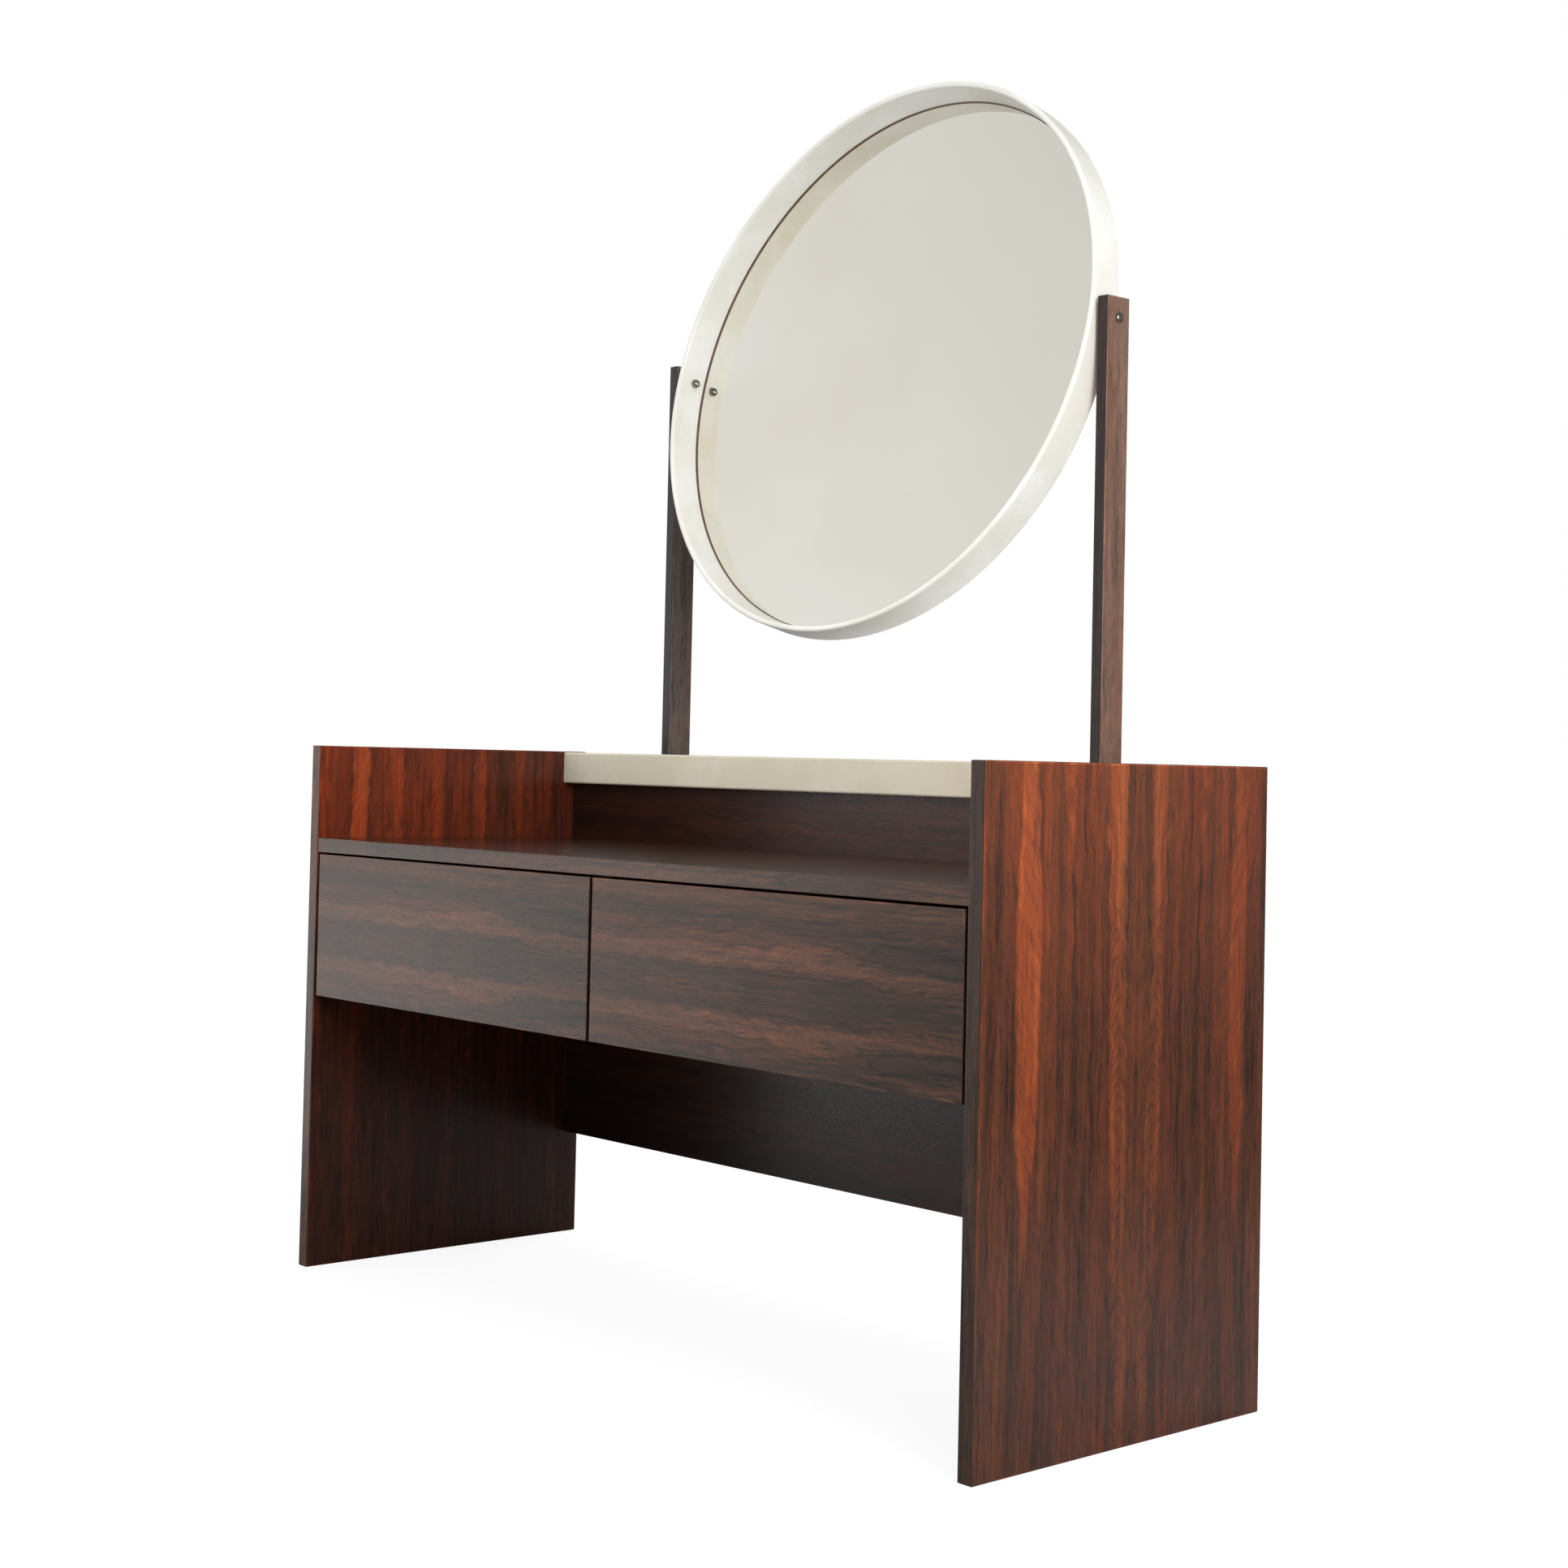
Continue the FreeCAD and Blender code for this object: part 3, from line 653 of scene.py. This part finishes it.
def paleWood(name, grainAxis, seed, stainedFront=False, spec=paleWoodGrain):
    # straight fine grain along one axis of the piece; a front edge may be stained dark
    finish, tree, shader, place = startFinish(name)
    first, second = (place[k] for k in "XYZ" if k != grainAxis)
    along = place[grainAxis]
    across = addUp(tree, first, scaled(tree, second, spec["tilt"]))
    noise = spec["noise"]
    sway = streaks(tree, across, along, seed, noise["sway"])
    line = addUp(tree, across, scaled(tree, sway, spec["swayReach"]))
    streak, fine, speck = (streaks(tree, line, along, seed, noise[k]) for k in ("streak", "fine", "speck"))
    tone = addUp(tree, spec["tone"], scaled(tree, streak, spec["streakShare"]),
                 scaled(tree, fine, spec["fineShare"]))
    speck = between(tree, speck, *spec["speckSwing"])
    speckShare, speckTint = spec["speckTint"]
    colour = colourRamp(tree, tone, spec["colours"])
    colour = blendColours(tree, scaled(tree, speck, speckShare), colour, speckTint)
    if stainedFront:
        front = between(tree, coordinates(tree, "Normal")["Y"], *spec["frontTurn"], 1.0, 0.0)
        colour = blendColours(tree, front, colour, spec["stain"])
    feed(tree, shader.inputs["Base Color"], colour)
    dullBy(tree, shader, spec["roughness"], speck, spec["speckDulling"])
    addBump(tree, shader, scaled(tree, speck, -1.0), *spec["bump"])
    return finish


# backing board, metals, washers and glass

boardFelt = {"colours": [(0.35, tint(74, 49, 32)), (0.62, tint(122, 86, 58))], "felt": (260.0, 4.0, 0.65),
             "stain": (7.0, 2.0), "stainShare": 0.4, "roughness": 0.55, "feltDulling": 0.25,
             "bump": (0.2, 0.0004)}


def brownBoard(name, spec=boardFelt):
    # pressed fibres: a cloud of short threads over slow stains
    finish, tree, shader, place = startFinish(name)
    felt = evenCloud(tree, place, *spec["felt"])
    stain = evenCloud(tree, place, *spec["stain"])
    tone = swap(tree, spec["stainShare"], felt, stain)
    feed(tree, shader.inputs["Base Color"], colourRamp(tree, tone, spec["colours"]))
    dullBy(tree, shader, spec["roughness"], felt, spec["feltDulling"])
    addBump(tree, shader, felt, *spec["bump"])
    return finish


metals = {
    "nickel": {"low": tint(112, 106, 99), "high": tint(168, 162, 154), "roughness": 0.26,
               "turnedAbout": "X"},
    "steel": {"low": tint(150, 150, 150), "high": tint(190, 190, 188), "roughness": 0.30,
              "turnedAbout": "Z"},
}
metalSkin = {"markScale": 2600.0, "alongScale": 240.0, "bloom": (90.0, 3.0), "markShare": 0.3,
             "swing": (0.36, 0.62), "bloomDulling": 0.14, "bump": (0.08, 0.0001)}


def metal(name, plate, skin=metalSkin):
    # plated metal with fine turning marks and dull patches
    finish, tree, shader, place = startFinish(name)
    scales = (skin["markScale"] if k == plate["turnedAbout"] else skin["alongScale"] for k in "XYZ")
    marks = cloud(tree, *(scaled(tree, place[k], scale) for k, scale in zip("XYZ", scales)))
    bloom = evenCloud(tree, place, *skin["bloom"])
    mixed = swap(tree, skin["markShare"], bloom, marks)
    colour = blendColours(tree, between(tree, mixed, *skin["swing"]), plate["low"], plate["high"])
    feed(tree, shader.inputs["Base Color"], colour)
    shader.inputs["Metallic"].default_value = 1.0
    dullBy(tree, shader, plate["roughness"], bloom, skin["bloomDulling"])
    addBump(tree, shader, marks, *skin["bump"])
    return finish


washerFelt = {"colours": [(0.3, tint(40, 35, 31)), (0.7, tint(70, 62, 56))], "felt": (700.0, 3.0),
              "roughness": 0.5, "feltDulling": 0.3, "bump": (0.15, 0.0003)}


def fibreWasher(name, spec=washerFelt):
    # one fine cloud for colour, dulling and grain
    finish, tree, shader, place = startFinish(name)
    felt = evenCloud(tree, place, *spec["felt"])
    feed(tree, shader.inputs["Base Color"], colourRamp(tree, felt, spec["colours"]))
    dullBy(tree, shader, spec["roughness"], felt, spec["feltDulling"])
    addBump(tree, shader, felt, *spec["bump"])
    return finish


mirrorGlass = {
    "colours": [(0.3, tint(242, 241, 233)), (0.7, tint(236, 231, 218))],
    "haze": (3.0, 3.0),
    "hazeRoughness": (0.3, 0.8, 0.012, 0.035),
    "upper": (1.15, 1.75),      # X plus Z where the painted reflection, greyer to the upper right, starts and ends
    "upperTint": (0.7, tint(230, 227, 216)),
    "edgeColours": [(0.3, tint(92, 66, 52)), (0.7, tint(120, 90, 74))],
    "creep": (120.0, 3.0),
    "edgeRoughness": (0.4, 0.3),
}


def silvering(name, spec=mirrorGlass):
    # silvered glass: a faint warm haze that drifts over it, and a painted reflection that greys it towards
    # the upper right
    finish, tree, shader, place = startFinish(name)
    haze = evenCloud(tree, place, *spec["haze"])
    upperShare, upperTint = spec["upperTint"]
    upper = scaled(tree, between(tree, addUp(tree, place["X"], place["Z"]), *spec["upper"]), upperShare)
    colour = blendColours(tree, upper, colourRamp(tree, haze, spec["colours"]), upperTint)
    feed(tree, shader.inputs["Base Color"], colour)
    shader.inputs["Metallic"].default_value = 1.0
    feed(tree, shader.inputs["Roughness"], between(tree, haze, *spec["hazeRoughness"]))
    return finish


def glassEdge(name, spec=mirrorGlass):
    # ground edge of the glass with brown paint creeping round it
    finish, tree, shader, place = startFinish(name)
    creep = evenCloud(tree, place, *spec["creep"])
    even, swing = spec["edgeRoughness"]
    feed(tree, shader.inputs["Base Color"], colourRamp(tree, creep, spec["edgeColours"]))
    dullBy(tree, shader, even, creep, swing)
    return finish


# which finish goes on which piece

boards = {
    "left_side_panel": {"figure": leftPanelFigure, "colours": warmColours, "ior": 1.40},
    "right_side_panel": {"figure": sidePanelFigure},
    "left_post": {"figure": shadedLeftPostFigure, "colours": shadedLeftPostColours, "roughness": 0.38},
    "right_post": {"figure": postFigure, "colours": postColours, "roughness": 0.38, "ior": 1.44},
    "dressing_top": {"figure": topFigure, "colours": warmColours, "roughness": 0.16},
    "back_panel": {"figure": backFigure, "colours": warmColours, "ior": 1.58},
}
drawerEnds = {side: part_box(side + "_drawer_front")[0].x for side in sides}
for side in sides:
    boards[side + "_drawer_front"] = {"figure": drawerFigure, "colours": drawerColours,
                                      "start": drawerEnds[side]}


def dress(finish, *names):
    for name in names:
        nodes[name].material_slots[0].material = finish


for board, choice in boards.items():
    dress(rosewood(board, **choice), board)
dress(lacquer("cream_rail_lacquer", lacquers["cream"]), "mirror_rail")
paleAlongX = paleWood("pale_wood_lengthwise", "X", 4.0)
paleAlongY = paleWood("pale_wood_deep", "Y", 9.0)
paleUpright = paleWood("pale_wood_upright", "Z", 13.0)
for side in sides:
    dress(paleAlongX, *(side + "_drawer_" + part for part in ("back", "bottom", "stop")))
    dress(paleAlongY, *(side + "_drawer_" + part for part in ("outer_side", "inner_side", "dowels")))
    dress(paleAlongY, *(side + "_" + part for part in ("outer_runner", "inner_runner")))
    dress(paleUpright, side + "_cleat")
dress(paleWood("pale_wood_divider", "Y", 17.0, stainedFront=True), "centre_divider")
dress(paleAlongX, "top_dowels", "rail_dowels")
dress(paleUpright, "divider_dowels")
dress(brownBoard("backing_board"), "mirror_backing")
dress(metal("plain_screw_steel", metals["steel"]), "back_panel_screws", "cleat_screws", "post_screws",
      "runner_screws", "stop_screws", "backing_pins")
print("boards, lacquers and screws dressed")


# turned pieces: a profile carried round an axis

turning = {"arcSteps": 8, "support": 0.0006, "sharpAngle": 40.0}


def roundedProfile(corners, radii, steps=turning["arcSteps"], support=turning["support"]):
    # each corner becomes an arc tangent to its sides; a point off each arc's ends keeps the flats flat
    corners = np.asarray(corners, float)
    pieces = []
    for i, (corner, radius) in enumerate(zip(corners, radii)):
        if radius == 0.0:
            pieces.append(corner[None])
            continue
        before = corners[i - 1] - corner
        after = corners[(i + 1) % len(corners)] - corner
        before, after = before / np.linalg.norm(before), after / np.linalg.norm(after)
        halfAngle = math.acos(np.clip(before @ after, -1.0, 1.0)) / 2.0
        reach = radius / math.tan(halfAngle)
        centre = corner + (before + after) / np.linalg.norm(before + after) * radius / math.sin(halfAngle)
        first, last = corner + before * reach - centre, corner + after * reach - centre
        sweep = np.linspace(0.0, 1.0, steps + 1)[:, None]
        swing = math.pi - 2.0 * halfAngle
        arc = np.sin((1 - sweep) * swing) * first + np.sin(sweep * swing) * last
        arc = centre + arc / math.sin(swing)
        flats = corner + np.array((before, after)) * (reach + support)
        pieces.append(np.vstack((flats[0], arc, flats[1])))
    return np.vstack(pieces)


def turned(profile, segments, closed):
    # ring of profile points: radius times (cos, sin) of the turn across the axis, depth along it
    turn = np.linspace(0.0, 2.0 * np.pi, segments, endpoint=False)
    radius, depth = profile[:, 0][:, None], profile[:, 1][:, None]
    rings = np.stack((radius * np.cos(turn), depth + 0.0 * turn, radius * np.sin(turn)), axis=-1)
    count = len(profile)
    rows = np.arange(count if closed else count - 1)
    row, column = np.meshgrid(rows, np.arange(segments), indexing="ij")
    nextRow, nextColumn = (row + 1) % count, (column + 1) % segments
    quads = np.stack((row * segments + column, row * segments + nextColumn,
                      nextRow * segments + nextColumn, nextRow * segments + column), axis=-1).reshape(-1, 4)
    bands = row.reshape(-1)
    points = rings.reshape(-1, 3)
    fans = np.empty((0, 3), int)
    if not closed:
        # both ends close on the axis with one point and a fan of triangles
        poles = np.array([[0.0, profile[0, 1], 0.0], [0.0, profile[-1, 1], 0.0]])
        points = np.vstack((points, poles))
        ring = np.arange(segments)
        after = (ring + 1) % segments
        last = (count - 1) * segments
        firstFan = np.stack((after, ring, np.full(segments, count * segments)), axis=-1)
        lastFan = np.stack((last + ring, last + after, np.full(segments, count * segments + 1)), axis=-1)
        fans = np.vstack((firstFan, lastFan))
    return points, quads, fans, bands


def enclosedVolume(points, quads, fans):
    # sum of the signed tetrahedra from the origin to each triangle
    triangles = np.vstack((quads[:, [0, 1, 2]], quads[:, [0, 2, 3]], fans))
    a, b, c = (points[triangles[:, k]] for k in range(3))
    return np.einsum("ij,ij->", a, np.cross(b, c)) / 6.0


def turnedPiece(name, profile, segments, closed, place, bandFinishes, finishes):
    # place is a 4 by 4 matrix that carries the axis, along Y, to where the piece sits
    points, quads, fans, bands = turned(np.asarray(profile, float), segments, closed)
    points = points @ np.array(place.to_3x3()).T + np.array(place.translation)
    if enclosedVolume(points - points.mean(axis=0), quads, fans) < 0.0:
        quads, fans = quads[:, ::-1], fans[:, ::-1]
    mesh = bpy.data.meshes.new(name)
    mesh.from_pydata(points.tolist(), [], quads.tolist() + fans.tolist())
    for finish in finishes:
        mesh.materials.append(finish)
    ends = np.repeat((bandFinishes[0], bandFinishes[-1]), len(fans) // 2)
    index = np.concatenate((np.asarray(bandFinishes)[bands], ends))
    mesh.polygons.foreach_set("material_index", index.astype(np.int32))
    mesh.shade_smooth()
    mesh.set_sharp_from_angle(angle=math.radians(turning["sharpAngle"]))
    piece = bpy.data.objects.new(name, mesh)
    scene.collection.objects.link(piece)
    return piece


# the mirror: hoop and glass turn about the line of the pivot bolts

mirrorShape = {
    "tilt": 13.0,               # degrees the top leans back
    "hoopDrop": 0.006,          # hoop's centre below the pivot line
    "frontReach": 0.024,        # hoop's front rim ahead of the pivot line
    "depth": 0.043,
    "outer": 0.366,
    "rimWall": 0.007,
    "seatWall": 0.011,
    "glassSeat": 0.004,         # depth of the glass's seat at the rear
    "edge": 0.003,
    "seatEdge": 0.0004,
    "glassRadius": 0.3545,
    "silverDepth": 0.0018,      # silvered face behind the glass's front
    "edgeLine": 0.0006,
    "hub": 0.02,                # radius of the innermost ring
    "silverRings": 12,
    "segments": 256,
}


def mirrorPlace(shape):
    # carries a turned shape, depth along +Y from the pivot line, to the tipped mirror
    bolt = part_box("left_pivot_bolt")
    pivot = (bolt[0] + bolt[1]) / 2.0
    tip = Matrix.Rotation(-math.radians(shape["tilt"]), 4, "X")
    drop = Matrix.Translation((0.0, 0.0, -shape["hoopDrop"]))
    return Matrix.Translation((0.0, pivot.y, pivot.z)) @ tip @ drop


def buildMirror(shape):
    # hoop: a rounded five-cornered wall carried round; glass: flat rings, then its rim and back
    place = mirrorPlace(shape)
    front, rear = -shape["frontReach"], shape["depth"] - shape["frontReach"]
    outer = shape["outer"]
    rim, seat = outer - shape["rimWall"], outer - shape["seatWall"]
    seatFace = rear - shape["glassSeat"]
    hoopCorners = [(rim, front), (outer, front), (outer, rear), (seat, rear), (seat, seatFace)]
    hoopEdges = (shape["edge"], shape["edge"], shape["edge"], shape["seatEdge"], 0.0)
    hoopProfile = roundedProfile(hoopCorners, hoopEdges)
    hoop = turnedPiece("white_hoop", hoopProfile, shape["segments"], True, place,
                       np.zeros(len(hoopProfile), int), [lacquer("white_hoop_lacquer", lacquers["white"])])
    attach(hoop, "mirror")
    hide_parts("mirror_hoop")

    wide, narrow = shape["glassRadius"], shape["glassRadius"] - shape["edgeLine"]
    rings, hub = shape["silverRings"], shape["hub"]
    silver = seatFace + shape["silverDepth"]
    silverFace = np.column_stack((np.linspace(hub, narrow, rings), np.full(rings, silver)))
    rimAndBack = [(narrow, seatFace), (wide, seatFace), (wide, rear), (hub, rear)]
    bandFinishes = np.array([0] * (rings - 1) + [1] * (len(rimAndBack) + 1))
    glassProfile = np.vstack((silverFace, rimAndBack))
    glass = turnedPiece("mirror_plate", glassProfile, shape["segments"], False, place,
                        bandFinishes, [silvering("mirror_silvering"), glassEdge("glass_edge_brown")])
    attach(glass, "mirror")
    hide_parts("mirror_glass")


buildMirror(mirrorShape)
print("mirror turned")


# pivot fittings: domed heads outside the posts, cap nuts inside the hoop, spacers between

fittingShape = {"rimHeight": 0.0012, "edge": 0.0004, "segments": 64, "shank": 0.003, "tipBevel": 0.0005,
                "nutBore": 0.003, "domeSteps": 12}


def axisAlongX(start, sign):
    # carries a turned shape's axis to the X direction, pointing to sign
    turn = Matrix.Rotation(-sign * math.pi / 2.0, 4, "Z")
    return Matrix.Translation(start) @ turn


def domeProfile(radius, height, shape):
    # rounded foot and short rim, then a quarter ellipse up to the top
    sweep = np.linspace(0.0, np.pi / 2.0, shape["domeSteps"] + 1)[:-1]
    rim = shape["rimHeight"]
    dome = np.column_stack((radius * np.cos(sweep), rim + (height - rim) * np.sin(sweep)))
    return np.vstack(([(radius - shape["edge"], 0.0), (radius, shape["edge"])], dome))


def endsAlongX(low, high):
    # how far a box's near and far ends lie from the middle of the table
    return sorted((abs(low.x), abs(high.x)))


def buildFittings(shape):
    # bolt: shank, then its domed head; nut: bore, then its dome, pointing the other way
    nickel = metal("dull_nickel", metals["nickel"])
    fibre = fibreWasher("spacer_fibre_dark")
    shank, bevel = shape["shank"], shape["tipBevel"]
    for side, sign in zip(sides, (-1.0, 1.0)):
        low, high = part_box(side + "_pivot_bolt")
        postLow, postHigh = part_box(side + "_post")
        middle = (low + high) / 2.0
        postOuter = endsAlongX(postLow, postHigh)[1]
        tipInner, tipOuter = endsAlongX(low, high)
        length = postOuter - tipInner
        profile = np.vstack(([(shank - bevel, -length), (shank, bevel - length), (shank, 0.0)],
                             domeProfile((high.z - low.z) / 2.0, tipOuter - postOuter, shape)))
        place = axisAlongX((sign * postOuter, middle.y, middle.z), sign)
        bolt = turnedPiece(side + "_bolt_head", profile, shape["segments"], False, place,
                           np.zeros(len(profile), int), [nickel])
        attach(bolt, "carcase")
        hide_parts(side + "_pivot_bolt")

        low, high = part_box(side + "_cap_nut")
        inner, outer = endsAlongX(low, high)
        profile = np.vstack(([(shank, shape["nutBore"]), (shank, 0.0)],
                             domeProfile((high.z - low.z) / 2.0, outer - inner, shape)))
        place = axisAlongX((sign * outer, middle.y, middle.z), -sign)
        nut = turnedPiece(side + "_domed_nut", profile, shape["segments"], False, place,
                          np.zeros(len(profile), int), [nickel])
        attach(nut, "carcase")
        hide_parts(side + "_cap_nut")

        dress(fibre, side + "_pivot_spacer")


buildFittings(fittingShape)
print("pivot fittings turned")


# floor, world and lights

studio = {
    "floorHalf": 12.0,
    "floorTone": 0.22,              # what the floor throws back at the object
    "floorInGloss": (0.36, 0.08, 0.34),  # the same floor as gloss sees it: near, a few metres off, far off
    "floorNear": (1.2, 2.2),        # metres over which the near floor turns into the middle one
    "floorFar": (3.5, 7.0),
    "shadowShare": 0.16,            # how much of the seen floor takes shadow
    "floorLight": 0.7,              # light that falls on the open floor
    "sideGlow": 1.90,             # far floor on the bright side, as gloss sees it
    "brightSide": (-0.95, -0.30),
    "sideEdge": 0.70,             # cosine off the bright side at which its glow starts
    "sideNear": (1.0, 2.2),
    "skyLow": 0.50,                 # light from the horizon and from overhead
    "skyHigh": 1.10,
    "skyRise": (-0.1, 0.9),
    "skyGlow": (0.26, 0.92),        # sky as gloss sees it, away from the bright side and towards it
    "skyEdge": 0.25,
    "glowRise": (0.15, 0.60),
    "glowHigh": 0.85,
    "lamps": {                      # a cone in degrees makes a lamp a soft spot
        "key_softbox": {"place": (1.7, -0.7, 1.25), "aim": (0.3, 0.0, 0.8), "size": 1.2, "power": 64.0,
                        "cone": None, "inGloss": True},
        "front_fill": {"place": (-0.4, -2.4, 0.35), "aim": (0.0, 0.1, 1.15), "size": 0.8, "power": 66.0,
                       "cone": 50.0, "inGloss": False},
        "hoop_fill": {"place": (2.1, -1.1, 0.60), "aim": (0.0, 0.17, 1.15), "size": 0.5, "power": 38.0,
                      "cone": 30.0, "inGloss": False},
        "under_fill": {"place": (0.30, 0.52, 0.15), "aim": (0.08, 0.2, 0.88), "size": 0.4, "power": 17.0,
                       "cone": 44.0, "inGloss": False},
        "back_fill": {"place": (-1.2, 2.6, 1.5), "aim": (0.0, 0.2, 0.6), "size": 1.4, "power": 200.0,
                      "cone": 80.0, "inGloss": False},
    },
    "softboxFade": (0.08, 0.5),     # share of the softbox's width from its middle
}


def towardsBright(tree, place, spec):
    # cosine of the level angle between a place and the bright side, and how far off the place is
    level = calc(tree, "SQRT", addUp(tree, *(scaled(tree, place[k], place[k]) for k in "XY"), 1e-6))
    total = addUp(tree, *(scaled(tree, place[k], side) for k, side in zip("XY", spec["brightSide"])))
    return calc(tree, "DIVIDE", total, level), level


def floorFinish(spec):
    # dull floor for shadows, plus a glow: white to the camera, and lit in gloss on the bright side
    finish, tree, shader, place = startFinish("pale_floor")
    finish.cycles.emission_sampling = "NONE"
    tree.nodes.remove(shader)
    path = tree.nodes.new("ShaderNodeLightPath")
    seen = path.outputs["Is Camera Ray"]
    gloss = calc(tree, "MAXIMUM", path.outputs["Is Glossy Ray"], path.outputs["Is Transmission Ray"])
    cosine, reach = towardsBright(tree, place, spec)
    near, middle, far = spec["floorInGloss"]
    inGloss = addUp(tree, between(tree, reach, *spec["floorNear"], near, middle),
                    between(tree, reach, *spec["floorFar"], 0.0, far - middle))
    shade = swap(tree, seen, swap(tree, gloss, spec["floorTone"], inGloss), spec["shadowShare"])
    grey = tree.nodes.new("ShaderNodeCombineColor")
    for socket in grey.inputs[:3]:
        tree.links.new(shade, socket)
    diffuse = tree.nodes.new("ShaderNodeBsdfDiffuse")
    tree.links.new(grey.outputs[0], diffuse.inputs["Color"])
    lit = between(tree, cosine, spec["sideEdge"], 1.0, 0.0, spec["sideGlow"])
    lit = scaled(tree, lit, between(tree, reach, *spec["sideNear"]))
    lit = swap(tree, seen, scaled(tree, lit, gloss), 1.0 - spec["floorLight"] * spec["shadowShare"])
    glow = tree.nodes.new("ShaderNodeEmission")
    tree.links.new(lit, glow.inputs["Strength"])
    both = tree.nodes.new("ShaderNodeAddShader")
    tree.links.new(diffuse.outputs[0], both.inputs[0])
    tree.links.new(glow.outputs[0], both.inputs[1])
    tree.links.new(both.outputs[0], tree.nodes["Material Output"].inputs["Surface"])
    return finish


def buildFloor(spec):
    half = spec["floorHalf"]
    corners = [(-half, -half, 0.0), (half, -half, 0.0), (half, half, 0.0), (-half, half, 0.0)]
    mesh = bpy.data.meshes.new("studio_floor")
    mesh.from_pydata(corners, [], [(0, 1, 2, 3)])
    mesh.materials.append(floorFinish(spec))
    floor = bpy.data.objects.new("studio_floor", mesh)
    scene.collection.objects.link(floor)


def buildWorld(spec):
    # white to the camera, dim or bright to gloss by the side it comes from, and rising light for the rest
    world = bpy.data.worlds.new("studio_world")
    scene.world = world
    world.use_nodes = True
    world.cycles.sampling_method = "NONE"
    tree = world.node_tree
    tree.nodes.clear()
    direction = coordinates(tree, "Generated")
    path = tree.nodes.new("ShaderNodeLightPath")
    bright = between(tree, towardsBright(tree, direction, spec)[0], spec["skyEdge"], 1.0, *spec["skyGlow"])
    bright = scaled(tree, bright, between(tree, direction["Z"], *spec["glowRise"], 1.0, spec["glowHigh"]))
    gloss = addUp(tree, path.outputs["Is Glossy Ray"], path.outputs["Is Transmission Ray"])
    sky = between(tree, direction["Z"], *spec["skyRise"], spec["skyLow"], spec["skyHigh"])
    strength = swap(tree, path.outputs["Is Camera Ray"], swap(tree, gloss, sky, bright), 1.0)
    light = tree.nodes.new("ShaderNodeBackground")
    light.inputs["Color"].default_value = (1.0, 1.0, 1.0, 1.0)
    tree.links.new(strength, light.inputs["Strength"])
    out = tree.nodes.new("ShaderNodeOutputWorld")
    tree.links.new(light.outputs[0], out.inputs["Surface"])


def softenLamp(lamp, fade):
    # brightest in the middle, fading to nothing at the rim, so that it has no hard edge in the mirror
    lamp.use_nodes = True
    tree = lamp.node_tree
    spot = splitVector(tree, tree.nodes.new("ShaderNodeNewGeometry").outputs["Parametric"])
    reach = spread(tree, *(minus(tree, spot[k], 0.5) for k in "XY"))
    tree.links.new(between(tree, reach, *fade, 1.0, 0.0), tree.nodes["Emission"].inputs["Strength"])


def buildLamps(spec):
    for name, item in spec["lamps"].items():
        lamp = bpy.data.lights.new(name, "SPOT" if item["cone"] else "AREA")
        lamp.energy = item["power"]
        if item["cone"]:
            lamp.spot_size = math.radians(item["cone"])
            lamp.spot_blend = 1.0
            lamp.shadow_soft_size = item["size"] / 2.0
        else:
            lamp.shape = "SQUARE"
            lamp.size = item["size"]
            softenLamp(lamp, spec["softboxFade"])
        holder = bpy.data.objects.new(name, lamp)
        aim = Vector(item["aim"]) - Vector(item["place"])
        turn = aim.to_track_quat("-Z", "Y").to_matrix().to_4x4()
        holder.matrix_world = Matrix.Translation(item["place"]) @ turn
        holder.visible_camera = False
        holder.visible_glossy = item["inGloss"]
        scene.collection.objects.link(holder)


buildFloor(studio)
buildWorld(studio)
buildLamps(studio)
print("studio lit")
